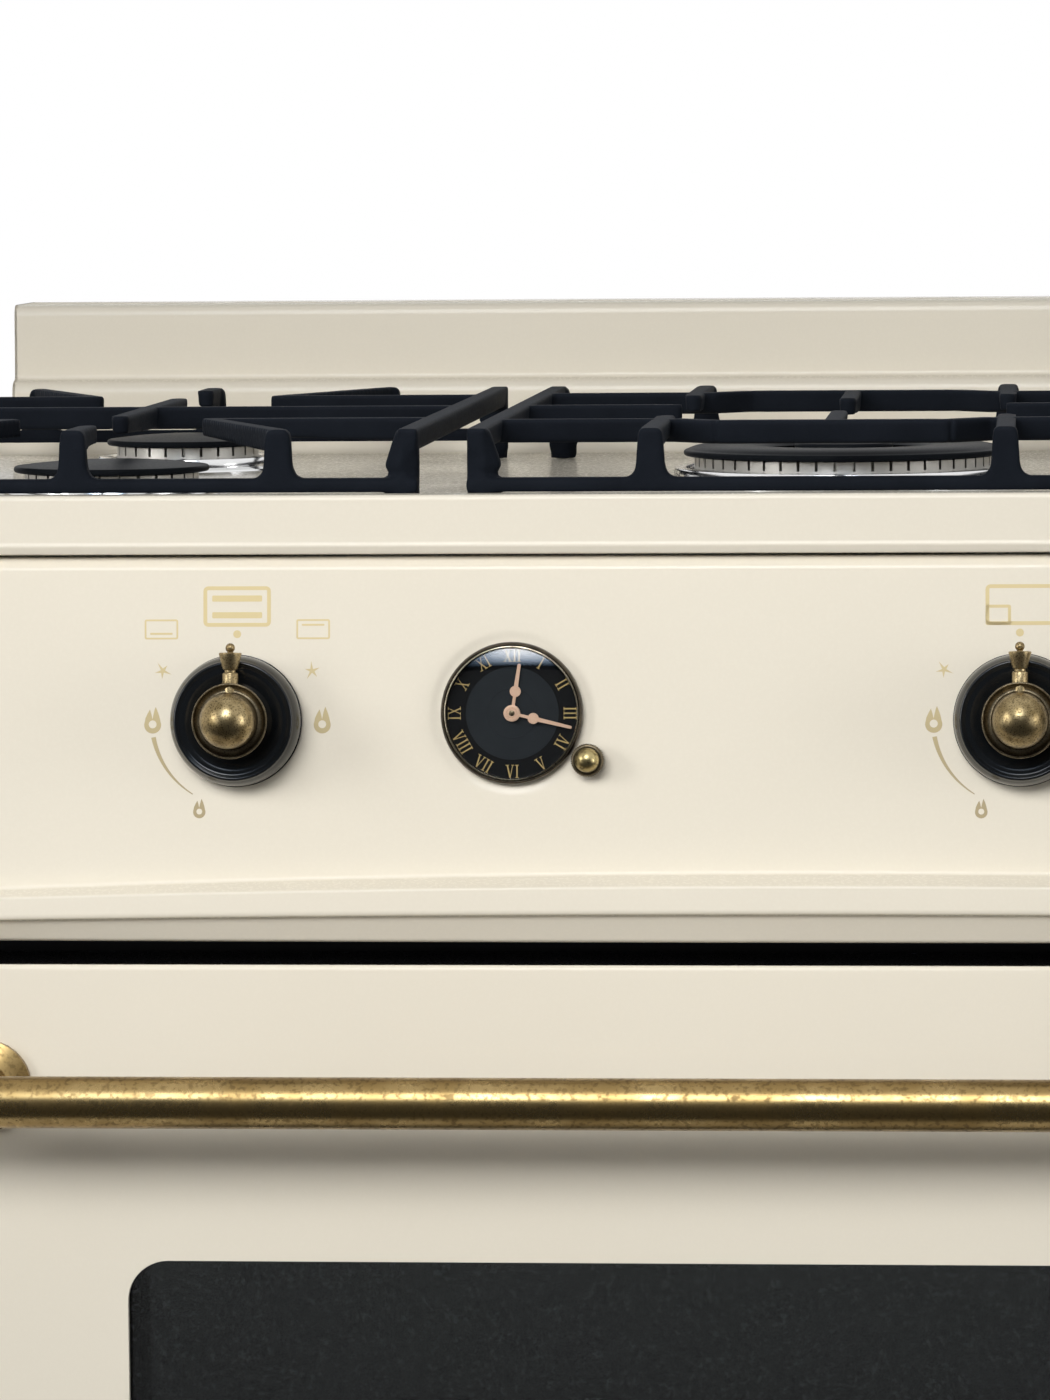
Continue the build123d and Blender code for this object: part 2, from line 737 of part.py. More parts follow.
def panel_loft(half, wall, mode):
    """A smooth loft through the sections at both ends and at the centre."""
    sections = []
    for x in (-half, 0, half):
        with BuildSketch(Plane(origin=(x, 0, 0), x_dir=(0, 1, 0), z_dir=(1, 0, 0))) as section:
            with BuildLine():
                Polyline(*panel_outline(x, wall), close=True)
            make_face()
        sections.append(section.sketch)
    loft(sections=sections, mode=mode)


with BuildPart() as control_panel:
    panel_loft(half_width, 0.0, Mode.ADD)
    panel_loft(half_width - sheet, sheet, Mode.SUBTRACT)
    for x in [oven_knob_x] + burner_knob_x:
        with BuildSketch(face_plane(on_panel(x, axis_drop, hole_cut_front))):
            Circle(neck_radius + neck_hole_gap)
        extrude(amount=-hole_cut_length, mode=Mode.SUBTRACT)
    with BuildSketch(face_plane(on_panel(clock_x, axis_drop - clock_rise, hole_cut_front))):
        Circle(clock_hole_radius)
        with Locations(set_knob_offset):
            Circle(set_shaft_radius + neck_hole_gap)
    extrude(amount=-hole_cut_length, mode=Mode.SUBTRACT)
save(control_panel, "control_panel")

# Gas rail: steel pipe behind the taps, run back along the right side to a threaded end
rail_point = on_panel(0, axis_drop, -rail_back, -rail_below)
rail_y, rail_z = rail_point.Y, rail_point.Z
rail_bend = 16.0
rail_drop_inset = 60.0
inlet_setback = 2.0
rail_drop_y = back_face - rail_drop_inset
inlet_end = rear_edge - inlet_setback
with BuildPart() as gas_rail:
    with BuildLine():
        rail_route = FilletPolyline((-rail_half_length, rail_y, rail_z),
                                    (rail_return_x, rail_y, rail_z),
                                    (rail_return_x, rail_drop_y, rail_z),
                                    (rail_return_x, rail_drop_y, inlet_height),
                                    (inlet_x, rail_drop_y, inlet_height),
                                    (inlet_x, inlet_end, inlet_height), radius=rail_bend)
    with BuildSketch(Plane(origin=rail_route @ 0, z_dir=rail_route % 0)):
        Circle(rail_radius)
    sweep(path=rail_route)
    with Locations(Location((inlet_x, inlet_end - inlet_length / 2, inlet_height), (90, 0, 0))):
        Cylinder(inlet_radius, inlet_length)
save(gas_rail, "gas_rail")

# Gas taps: six valve bodies seated on the rail, each bored for its knob's stem
with BuildPart() as gas_taps:
    for x in [oven_knob_x] + burner_knob_x:
        centre = on_panel(x, axis_drop)
        with BuildSketch(face_plane(centre + normal * -tap_front)):
            with Locations((0, (tap_top - rail_below) / 2)):
                Rectangle(tap_width, tap_top + rail_below)
        extrude(amount=-(tap_back - tap_front))
        with BuildSketch(face_plane(centre + normal * -tap_front)):
            Circle(stem_radius + shaft_gap)
        extrude(amount=-tap_bore_depth, mode=Mode.SUBTRACT)
    with Locations(Location((0, rail_y, rail_z), (0, 90, 0))):
        Cylinder(rail_radius, 2 * half_width, mode=Mode.SUBTRACT)
save(gas_taps, "gas_taps")

# Feed pipes: one aluminium tube from each burner tap to its burner's cup, and one from
# the oven tap round behind the liner to the lower oven burner
tap_order = ["left_front", "left_rear", "centre", "right_rear", "right_front"]
tap_rear = on_panel(0, axis_drop, -tap_back, feed_radius) + Vector(0, lean * feed_radius, 0)
cup_bottom = deck_z - sheet - cup_depth
lane_pitch = 15.0
lane_start = 25.0
level_pitch = 11.0
level_top = tap_rear.Z - 2 * feed_bend - feed_radius
oven_lane = tap_rear.Y + lane_start + lane_pitch * len(burner_sites)
oven_level = mouth_high + sheet + 2 * feed_bend + feed_radius
burner_level = mouth_low + lower_burner_rise
pipe_rear = liner_back + sheet + feed_radius + moving_gap
with BuildPart() as gas_pipes:
    for index, (site, knob_x) in enumerate(zip(tap_order, burner_knob_x)):
        _, burner_x, depth, _ = next(item for item in burner_sites if item[0] == site)
        lane = tap_rear.Y + lane_start + lane_pitch * index
        level = level_top - level_pitch * index
        burner_y = grate_front + depth
        with BuildLine():
            feed_route = FilletPolyline((knob_x, tap_rear.Y, tap_rear.Z),
                                        (knob_x, lane, tap_rear.Z), (knob_x, lane, level),
                                        (burner_x, lane, level), (burner_x, burner_y, level),
                                        (burner_x, burner_y, cup_bottom), radius=feed_bend)
        with BuildSketch(Plane(origin=feed_route @ 0, z_dir=feed_route % 0)):
            Circle(feed_radius)
        sweep(path=feed_route)
    with BuildLine():
        oven_route = FilletPolyline((oven_knob_x, tap_rear.Y, tap_rear.Z),
                                    (oven_knob_x, oven_lane, tap_rear.Z),
                                    (oven_knob_x, oven_lane, oven_level),
                                    (oven_knob_x, pipe_rear, oven_level),
                                    (oven_knob_x, pipe_rear, burner_level),
                                    (0, pipe_rear, burner_level), radius=feed_bend)
    with BuildSketch(Plane(origin=oven_route @ 0, z_dir=oven_route % 0)):
        Circle(feed_radius)
    sweep(path=oven_route)
save(gas_pipes, "gas_pipes")

# Burner cups: turned aluminium cups that hang from the deck by a flange
crown_top = deck_z + crown_rise
with BuildPart() as burner_cups:
    for _, x, depth, cap_radius in burner_sites:
        with BuildSketch(Plane.XZ) as cup_profile:
            with BuildLine():
                body = cap_radius - moving_gap
                inner_radius = cap_radius - cup_wall
                Polyline((0, cup_bottom), (body * cup_taper, cup_bottom),
                         (body, deck_z - sheet),
                         (body, deck_z), (cap_radius + cup_margin, deck_z),
                         (cap_radius + cup_margin, deck_z + cup_flange_thickness),
                         (inner_radius, deck_z + cup_flange_thickness),
                         (inner_radius * cup_taper - cup_floor, cup_bottom + cup_floor),
                         (0, cup_bottom + cup_floor),
                         close=True)
            make_face()
        one_cup = revolve(axis=Axis.Z, mode=Mode.PRIVATE)
        add(one_cup.moved(Location((x, grate_front + depth, 0))))
save(burner_cups, "burner_cups")

# Burner crowns: cast aluminium rings with flame ports, seated in the cups
with BuildPart() as burner_crowns:
    for name, x, depth, cap_radius in burner_sites:
        crown_radius = cap_radius - crown_inset
        seat = deck_z + cup_flange_thickness
        hole_radius = crown_radius * crown_hole_share
        if name == "centre":
            hole_radius = ring_cap_hole_radius - crown_wall
        with BuildSketch(Plane.XY.offset(seat)):
            with Locations((x, grate_front + depth)):
                Circle(crown_radius)
                Circle(hole_radius, mode=Mode.SUBTRACT)
        extrude(amount=crown_top - seat)
        ports = int(2 * pi * crown_radius / port_pitch)
        with BuildSketch(Plane.XY.offset(crown_top - port_height)):
            with Locations((x, grate_front + depth)):
                with PolarLocations(crown_radius, ports):
                    Rectangle(port_length, port_width)
        extrude(amount=port_height, mode=Mode.SUBTRACT)
        if name == "centre":
            with BuildSketch(Plane.XY.offset(cup_bottom + cup_floor)):
                with Locations((x, grate_front + depth)):
                    Circle(inner_crown_radius)
                    Circle(inner_crown_bore, mode=Mode.SUBTRACT)
            extrude(amount=crown_top + cap_thickness - cup_bottom - cup_floor)
save(burner_crowns, "burner_crowns")


def dome_arc(rim_radius, rim_height, rise):
    """Arc of a spherical dome from its rim to the axis, square to the axis there."""
    sphere = (rim_radius ** 2 + rise ** 2) / (2 * rise)
    start = degrees(atan2(sphere - rise, rim_radius))
    return CenterArc((0, rim_height + rise - sphere), sphere, start, 90 - start)


def cap_section(outer, hole, base):
    """A cap's half section: flat underside, edge, and an arched top."""
    edge_height = cap_thickness * edge_share
    with BuildSketch(Plane.XZ) as section:
        with BuildLine():
            edge = Polyline((hole, base), (outer, base), (outer, base + edge_height))
            if hole:
                top = ThreePointArc(edge @ 1, ((outer + hole) / 2, base + cap_thickness
                                               + cap_crown / 2),
                                    (hole, base + cap_thickness))
            else:
                top = dome_arc(outer, base + edge_height,
                               cap_thickness + cap_crown - edge_height)
            Line(top @ 1, edge @ 0)
        make_face()
    return section.sketch


# Burner caps: enamelled iron lids, each on its crown with a spigot inside the ring
for name, x, depth, cap_radius in burner_sites:
    crown_radius = cap_radius - crown_inset
    base = crown_top + moving_gap
    hole = ring_cap_hole_radius if name == "centre" else 0.0
    with BuildPart() as burner_cap:
        revolve(cap_section(cap_radius, hole, base), axis=Axis.Z)
        if not hole:
            spigot_radius = crown_radius * crown_hole_share - cap_spigot_gap
            with BuildSketch(Plane.XY.offset(base)):
                Circle(spigot_radius)
                Circle(spigot_radius - cap_spigot_wall, mode=Mode.SUBTRACT)
            extrude(amount=-cap_spigot_length)
    placed = burner_cap.part.moved(Location((x, grate_front + depth, 0)))
    with BuildPart() as placed_cap:
        add(placed)
    save(placed_cap, f"burner_cap_{name}")

centre_site = burner_sites[2]
with BuildPart() as inner_cap:
    revolve(cap_section(inner_cap_radius, 0.0, crown_top + cap_thickness + moving_gap),
            axis=Axis.Z)
with BuildPart() as placed_inner_cap:
    add(inner_cap.part.moved(Location((centre_site[1], grate_front + centre_site[2], 0))))
save(placed_inner_cap, "burner_cap_centre_inner")

# Grates: cast iron frames on rubber pads, with posts, side rails and fingers
top_z = rim_height + grate_height
bar_low = top_z - bar_height
rail_low = rim_height + moving_gap
rail_high = rail_low + rail_height


def front_post(x, y):
    """A post that rises from the low rail, flared at its foot."""
    with BuildSketch(Plane.XZ.offset(-y)) as outline:
        with BuildLine():
            half_top, half_foot = post_width / 2, post_foot_width / 2
            Polyline((x - half_foot, rail_low), (x + half_foot, rail_low),
                     (x + half_foot, rail_high),
                     (x + half_top + post_flare_width, rail_high + post_flare_height),
                     (x + half_top, top_z), (x - half_top, top_z),
                     (x - half_top - post_flare_width, rail_high + post_flare_height),
                     (x - half_foot, rail_high), close=True)
        make_face()
    extrude(outline.sketch, amount=-bar_width)


def grate_frame(centre_x, half, posts):
    """Low rails front and rear, raised side rails, corner posts, posts and pads."""
    rear = grate_front + grate_length
    for y in (grate_front, rear - bar_width):
        box_between((centre_x - half, y, rail_low), (centre_x + half, y + bar_width, rail_high))
        for x in posts:
            front_post(centre_x + x, y)
    for side in (-1, 1):
        outer = centre_x + side * half
        ends = sorted((outer, outer - side * corner_post_width))
        for y in (grate_front, rear - corner_post_width):
            box_between((ends[0], y, rail_low), (ends[1], y + corner_post_width, top_z))
        ends = sorted((outer, outer - side * bar_width))
        box_between((ends[0], grate_front, bar_low), (ends[1], rear, top_z))
        for y in (grate_front + pad_inset + pad_radius, rear - pad_inset - pad_radius):
            with Locations((outer - side * (pad_inset + pad_radius), y,
                            (deck_z + moving_gap + rail_low) / 2)):
                Cylinder(pad_radius, rail_low - deck_z - moving_gap)


for side, name in ((-1, "grate_left"), (1, "grate_right")):
    centre_x = side * side_column_x
    rear = grate_front + grate_length
    cross_y = grate_front + middle_burner_depth
    with BuildPart() as grate:
        grate_frame(centre_x, side_grate_half_width, (-side_post_spacing, 0.0, side_post_spacing))
        bar_between((centre_x - side_grate_half_width, cross_y),
                    (centre_x + side_grate_half_width, cross_y), bar_low, top_z, bar_width)
        for depth, end_y, inward in ((front_burner_depth, grate_front, 1),
                                     (rear_burner_depth, rear, -1)):
            y = grate_front + depth
            for turn in (-1, 1):
                tip = (centre_x + turn * finger_reach, y)
                bar_between((centre_x + turn * side_grate_half_width, y), tip, bar_low, top_z,
                            bar_width)
                bar_between((centre_x + turn * side_post_spacing, end_y + inward * bar_width / 2),
                            tip, bar_low, top_z, bar_width)
            bar_between((centre_x, end_y), (centre_x, y - inward * near_finger_gap), bar_low,
                        top_z, bar_width)
            bar_between((centre_x, cross_y), (centre_x, y + inward * mid_finger_gap), bar_low,
                        top_z, bar_width)
    save(grate, name)

with BuildPart() as grate_centre:
    grate_frame(0.0, centre_grate_half_width, (-centre_post_x, centre_post_x))
    rear = grate_front + grate_length
    for flip in (0, 1):
        def depth_y(depth):
            """A depth from the front rail, or from the rear rail for the mirrored half."""
            return rear - depth if flip else grate_front + depth
        shelf = [(-centre_grate_half_width, depth_y(centre_bar_depth)),
                 (-centre_bar_flat - centre_bar_step, depth_y(centre_bar_depth)),
                 (-centre_bar_flat, depth_y(centre_bar_depth - centre_bar_step)),
                 (centre_bar_flat, depth_y(centre_bar_depth - centre_bar_step)),
                 (centre_bar_flat + centre_bar_step, depth_y(centre_bar_depth)),
                 (centre_grate_half_width, depth_y(centre_bar_depth))]
        for start, end in zip(shelf, shelf[1:]):
            bar_between(start, end, bar_low, top_z, bar_width)
        for x in (-centre_post_x, centre_post_x):
            bar_between((x, depth_y(0)), (x, depth_y(centre_bar_depth + centre_arm_overrun)),
                        bar_low, top_z, bar_width)
        bar_between((0, depth_y(centre_bar_depth - centre_bar_step)),
                    (0, depth_y(middle_burner_depth - wok_finger_reach)), bar_low, top_z, bar_width)
    for side in (-1, 1):
        bar_between((side * centre_grate_half_width, grate_front + middle_burner_depth),
                    (side * wok_finger_reach, grate_front + middle_burner_depth),
                    bar_low, top_z, bar_width)
save(grate_centre, "grate_centre")

# Knobs: a black moulded base that pushes in, and a brass grip with a pointer that turns


def base_knob(label, x):
    """The base: flange, disc with a shallow dish, and a neck through the panel."""
    centre = on_panel(x, axis_drop)
    with BuildPart() as base:
        with BuildSketch(profile_plane(centre)):
            with BuildLine():
                bore = stem_radius + shaft_gap
                disc_face = base_disc_front - base_face_drop
                dish_floor = base_disc_front - base_dish_depth
                Polyline((bore, -neck_length), (neck_radius, -neck_length),
                         (neck_radius, base_standoff),
                         (base_flange_radius - base_flange_round, base_standoff),
                         (base_flange_radius, base_standoff + base_flange_round),
                         (base_flange_radius, base_flange_front),
                         (base_flank_radius, base_flank_front),
                         (base_disc_radius, base_disc_front - base_bead_width),
                         (base_disc_radius - base_bead_width / 2, base_disc_front),
                         (base_disc_radius - base_bead_width, base_disc_front),
                         (base_disc_radius - 2 * base_bead_width, disc_face),
                         (base_dish_rim_radius, disc_face), (base_dish_radius, dish_floor),
                         (bore, dish_floor), close=True)
            make_face()
        revolve(axis=Axis(origin=centre, direction=normal))
    save(base, label)


def grip_knob(label, x):
    """The grip: stem, flange with a hollow, ball-shaped dome and the pointer."""
    centre = on_panel(x, axis_drop)
    with BuildPart() as grip:
        with BuildSketch(profile_plane(centre)):
            with BuildLine():
                outline = Polyline((0, -stem_reach), (stem_radius, -stem_reach),
                                   (stem_radius, grip_back), (grip_waist_radius, grip_back),
                                   (grip_shoulder_radius, grip_shoulder_front),
                                   (grip_flange_radius, grip_flange_back),
                                   (grip_flange_radius, grip_flange_front),
                                   (grip_flange_radius - grip_lip, grip_flange_front),
                                   (grip_hollow_radius, grip_flange_front - grip_hollow_depth),
                                   (dome_radius, grip_flange_front - grip_lip),
                                   (dome_radius, dome_centre))
                dome = CenterArc((0, dome_centre), dome_radius, 0, 90)
                Line(dome @ 1, outline @ 0)
            make_face()
        revolve(axis=Axis(origin=centre, direction=normal))
        pointer_foot = centre + normal * pointer_axis
        with BuildSketch(Plane(origin=pointer_foot, x_dir=(1, 0, 0), z_dir=normal)):
            with BuildLine():
                Polyline((0, pointer_barrel_start), (pointer_barrel_radius, pointer_barrel_start),
                         (pointer_barrel_radius, pointer_barrel_end),
                         (pointer_groove_radius, pointer_barrel_end + pointer_groove_side),
                         (pointer_groove_radius, pointer_cup_start - pointer_groove_side),
                         (pointer_cup_small_radius, pointer_cup_start),
                         (pointer_cup_large_radius, pointer_cup_end - pointer_cup_edge),
                         (pointer_cup_large_radius, pointer_cup_end),
                         (pointer_neck_radius, pointer_cup_end + pointer_neck_start),
                         (pointer_neck_radius, pointer_ball_centre),
                         (0, pointer_ball_centre), close=True)
            make_face()
        revolve(axis=Axis(origin=pointer_foot, direction=up_face))
        with Locations(pointer_foot + up_face * pointer_ball_centre):
            Sphere(pointer_ball_radius)
    save(grip, label)


knob_names = ["oven"] + [f"burner_{name}" for name in tap_order]
for name, x in zip(knob_names, [oven_knob_x] + burner_knob_x):
    base_knob(f"knob_base_{name}", x)
    grip_knob(f"knob_grip_{name}", x)

# Clock: movement behind the panel, dial, bezel, domed glass, two hands and a set knob
clock_centre = on_panel(clock_x, axis_drop - clock_rise)
set_centre = clock_centre + Vector(set_knob_offset[0], 0, 0) + up_face * set_knob_offset[1]
movement_level = movement_front - dial_thickness - sheet
with BuildPart() as clock_movement:
    with BuildSketch(face_plane(clock_centre + normal * movement_level)):
        Circle(movement_radius)
        with Locations(set_knob_offset):
            Circle(movement_boss_radius)
    extrude(amount=-movement_depth)
    with BuildSketch(face_plane(clock_centre + normal * movement_level)):
        Circle(dial_radius - movement_seat_gap)
    extrude(amount=dial_back - movement_level)
    with BuildSketch(face_plane(clock_centre + normal * dial_back)):
        Circle(hour_tube_radius + shaft_gap)
    extrude(amount=-movement_bore_depth, mode=Mode.SUBTRACT)
    with BuildSketch(face_plane(set_centre + normal * movement_level)):
        Circle(set_shaft_radius + shaft_gap)
    extrude(amount=-movement_bore_depth, mode=Mode.SUBTRACT)
save(clock_movement, "clock_movement")

with BuildPart() as clock_dial:
    with BuildSketch(face_plane(clock_centre + normal * dial_back)):
        Circle(dial_radius)
        Circle(hour_tube_radius + dial_hole_gap, mode=Mode.SUBTRACT)
    extrude(amount=dial_thickness)
save(clock_dial, "clock_dial")

with BuildPart() as clock_bezel:
    with BuildSketch(profile_plane(clock_centre)):
        with BuildLine():
            Polyline((bezel_inner_radius, dial_back + dial_thickness),
                     (dial_radius, dial_back + dial_thickness), (dial_radius, 0),
                     (bezel_radius, 0), (bezel_radius, bezel_foot_height),
                     (bezel_radius - bezel_step, bezel_step_height),
                     (bezel_radius - bezel_step, bezel_height - bezel_lip_height),
                     (bezel_radius - bezel_lip, bezel_height),
                     (bezel_inner_radius, bezel_height),
                     close=True)
        make_face()
    revolve(axis=Axis(origin=clock_centre, direction=normal))
save(clock_bezel, "clock_bezel")

glass_seat = 2.2
with BuildPart() as clock_glass:
    with BuildSketch(profile_plane(clock_centre)):
        with BuildLine():
            lower = dome_arc(bezel_inner_radius, glass_seat, glass_rise)
            upper = dome_arc(bezel_inner_radius, glass_seat + glass_thickness, glass_rise)
            Line(lower @ 0, upper @ 0)
            Line(lower @ 1, upper @ 1)
        make_face()
    revolve(axis=Axis(origin=clock_centre, direction=normal))
save(clock_glass, "clock_glass")


def clock_hand(label, angle, length, level, tube_outer, tube_inner, depth):
    """A flat hand with a hub and a pierced disc, on its tube or arbor."""
    with BuildPart() as hand:
        aim = Vector(sin(radians(angle)), 0, 0) + up_face * cos(radians(angle))
        plane = Plane(origin=clock_centre + normal * level, x_dir=aim.cross(normal),
                      z_dir=normal)
        with BuildSketch(plane):
            Circle(hand_hub_radius)
            with Locations((0, hand_disc_distance)):
                Circle(hand_disc_radius)
            with Locations((0, length / 2)):
                SlotOverall(length, 2 * hand_half_width, rotation=90)
            if tube_inner:
                Circle(tube_inner, mode=Mode.SUBTRACT)
        extrude(amount=hand_thickness)
        with BuildSketch(plane):
            Circle(tube_outer)
            if tube_inner:
                Circle(tube_inner, mode=Mode.SUBTRACT)
        extrude(amount=-depth)
    save(hand, label)


clock_hand("hour_hand", hour_hand_angle, hour_hand_length, hour_hand_level,
           hour_tube_radius, minute_arbor_radius + shaft_gap, hand_tube_depth)
clock_hand("minute_hand", minute_hand_angle, minute_hand_length, minute_hand_level,
           minute_arbor_radius, 0.0, hand_tube_depth)

with BuildPart() as set_knob:
    with BuildSketch(profile_plane(set_centre)):
        with BuildLine():
            outline = Polyline((0, -set_shaft_depth), (set_shaft_radius, -set_shaft_depth),
                               (set_shaft_radius, set_knob_back),
                               (set_knob_collar_radius, set_knob_back),
                               (set_knob_collar_radius,
                                set_knob_collar_front - set_knob_collar_round),
                               (set_knob_collar_radius - set_knob_collar_round,
                                set_knob_collar_front),
                               (set_knob_dome_radius, set_knob_collar_front))
            dome = dome_arc(set_knob_dome_radius, set_knob_collar_front,
                            set_knob_front - set_knob_collar_front)
            Line(dome @ 1, outline @ 0)
        make_face()
    revolve(axis=Axis(origin=set_centre, direction=normal))
save(set_knob, "set_knob")

# Door: outer skin, liner, two panes, a bar handle on two brackets, and the hinge straps
door_half_width = half_width - door_side_gap
door_back = door_face + door_thickness
skin_back = door_back - sheet
window_half_width = 275.0
window_low = 370.0
window_high = 600.0
window_corner = 16.0
pane_margin = 18.0
pane_thickness = 4.0
hinge_y = door_face + hinge_inset
hinge_z = door_bottom + hinge_inset


def hinge_notches(top):
    """Clear the skin or the liner where the fixed hinge arms pass through."""
    for x in (-hinge_x, hinge_x):
        box_between((x - hinge_notch_half_width, hinge_y - hinge_pin_radius - hinge_notch_gap,
                     door_bottom),
                    (x + hinge_notch_half_width, door_back, top), Mode.SUBTRACT)


with BuildPart() as door_skin:
    box_between((-door_half_width, door_face, door_bottom), (door_half_width, skin_back, door_top))
    fillet(door_skin.edges().group_by(Axis.Y)[0], panel_edge_round)
    box_between((-door_half_width + sheet, door_face + 2 * sheet, door_bottom + sheet),
                (door_half_width - sheet, skin_back, door_top - sheet), Mode.SUBTRACT)
    with BuildSketch(Plane.XZ.offset(-door_face)):
        with Locations((0, (window_low + window_high) / 2)):
            RectangleRounded(2 * window_half_width, window_high - window_low, window_corner)
    extrude(amount=-3 * sheet, mode=Mode.SUBTRACT)
    hinge_notches(door_bottom + sheet)
save(door_skin, "door_skin")

with BuildPart() as door_liner:
    box_between((-door_half_width, skin_back, door_bottom), (door_half_width, door_back, door_top))
    with BuildSketch(Plane.XZ.offset(-skin_back)):
        with Locations((0, (window_low + window_high) / 2)):
            RectangleRounded(2 * window_half_width, window_high - window_low, window_corner)
    extrude(amount=-sheet, mode=Mode.SUBTRACT)
    hinge_notches(hinge_z + hinge_notch_top)
save(door_liner, "door_liner")

with BuildPart() as door_panes:
    for y in (door_face + 2 * sheet, skin_back - pane_thickness):
        with BuildSketch(Plane.XZ.offset(-y)):
            with Locations((0, (window_low + window_high) / 2)):
                RectangleRounded(2 * (window_half_width + pane_margin),
                                 window_high - window_low + 2 * pane_margin, window_corner)
        extrude(amount=-pane_thickness)
save(door_panes, "door_panes")

handle_z = door_top - handle_drop
handle_y = door_face - handle_standoff
handle_tube_wall = 1.5
plug_length = 12.0
plug_rounding = 4.0
with BuildPart() as end_plug:
    Cylinder(handle_bar_radius, plug_length)
    fillet(end_plug.edges().group_by(Axis.Z)[-1], plug_rounding)
with BuildPart() as door_handle:
    with BuildSketch(Plane.YZ) as tube_section:
        with Locations((handle_y, handle_z)):
            Circle(handle_bar_radius)
            Circle(handle_bar_radius - handle_tube_wall, mode=Mode.SUBTRACT)
    extrude(amount=handle_half_length - plug_length, both=True)
    for side in (-1, 1):
        plug_x = side * (handle_half_length - plug_length / 2)
        add(end_plug.part.moved(Location((plug_x, handle_y, handle_z), (0, 90 * side, 0))))
save(door_handle, "door_handle")

bracket_collar_width = 22.0
bracket_stem_radius = 8.0
bracket_rose_radius = 18.0
bracket_rose_thickness = 3.0
bracket_flare = 2.0
bracket_flare_start = 7.0
bracket_flare_end = 14.0
with BuildPart() as handle_brackets:
    for x in (-bracket_half_spacing, bracket_half_spacing):
        with BuildSketch(Plane(origin=(x, door_face, handle_z), x_dir=(1, 0, 0),
                               z_dir=(0, 0, 1))):
            with BuildLine():
                Polyline((0, 0), (bracket_rose_radius, 0),
                         (bracket_rose_radius, -bracket_rose_thickness),
                         (bracket_stem_radius + bracket_flare, -bracket_flare_start),
                         (bracket_stem_radius, -bracket_flare_end),
                         (bracket_stem_radius, -handle_standoff), (0, -handle_standoff),
                         close=True)
            make_face()
        revolve(axis=Axis(origin=(x, door_face, handle_z), direction=(0, 1, 0)))
        with Locations(Location((x, handle_y, handle_z), (0, 90, 0))):
            Cylinder(handle_bar_radius, bracket_collar_width, mode=Mode.SUBTRACT)
save(handle_brackets, "handle_brackets")

with BuildPart() as hinge_straps:
    for x in (-hinge_x, hinge_x):
        for side in (-1, 1):
            ear = x + side * (hinge_arm_width / 2 + moving_gap + hinge_ear_thickness / 2)
            with Locations(Location((ear, hinge_y, hinge_z), (0, 90, 0))):
                Cylinder(hinge_pin_radius + hinge_ear_wall, hinge_ear_thickness)
            box_between((ear - hinge_ear_thickness / 2, door_face + 2 * sheet, hinge_z),
                        (ear + hinge_ear_thickness / 2, hinge_y + hinge_ear_depth,
                         hinge_z + hinge_ear_height))
            with Locations(Location((ear, hinge_y, hinge_z), (0, 90, 0))):
                Cylinder(hinge_pin_radius + shaft_gap, hinge_ear_thickness, mode=Mode.SUBTRACT)
        strap_half = hinge_notch_half_width + hinge_strap_margin
        box_between((x - strap_half, door_face + 2 * sheet, hinge_z + hinge_strap_start),
                    (x + strap_half, door_face + 4 * sheet, hinge_z + hinge_strap_length))
save(hinge_straps, "hinge_straps")

with BuildPart() as hinge_pins:
    for x in (-hinge_x, hinge_x):
        box_between((x - hinge_arm_width / 2, hinge_y, hinge_z - hinge_arm_half_height),
                    (x + hinge_arm_width / 2, frame_face, hinge_z + hinge_arm_half_height))
        with Locations(Location((x, hinge_y, hinge_z), (0, 90, 0))):
            Cylinder(hinge_arm_half_height, hinge_arm_width)
            Cylinder(hinge_pin_radius, 2 * hinge_pin_half_length)
        foot_half = hinge_notch_half_width - hinge_foot_gap
        box_between((x - foot_half, frame_face - hinge_foot_thickness, hinge_z - hinge_foot_low),
                    (x + foot_half, frame_face, hinge_z + hinge_foot_high))
save(hinge_pins, "hinge_pins")

# Drawer: enamelled front, sheet box on the runners, and a bar handle
with BuildPart() as drawer_front:
    box_between((-door_half_width, door_face, drawer_bottom),
                (door_half_width, door_face + drawer_front_depth, drawer_top))
    fillet(drawer_front.edges().group_by(Axis.Y)[0], panel_edge_round)
    box_between((-door_half_width + sheet, door_face + 2 * sheet, drawer_bottom + sheet),
                (door_half_width - sheet, door_face + drawer_front_depth, drawer_top - sheet),
                Mode.SUBTRACT)
save(drawer_front, "drawer_front")

box_low = frame_bottom + drawer_runner_height + moving_gap
box_front = door_face + 2 * sheet
with BuildPart() as drawer_box:
    box_between((-drawer_box_half_width, box_front, box_low),
                (drawer_box_half_width, box_front + drawer_box_depth,
                 box_low + drawer_box_height))
    box_between((-drawer_box_half_width + sheet, box_front + sheet, box_low + sheet),
                (drawer_box_half_width - sheet, box_front + drawer_box_depth - sheet,
                 box_low + drawer_box_height), Mode.SUBTRACT)
save(drawer_box, "drawer_box")

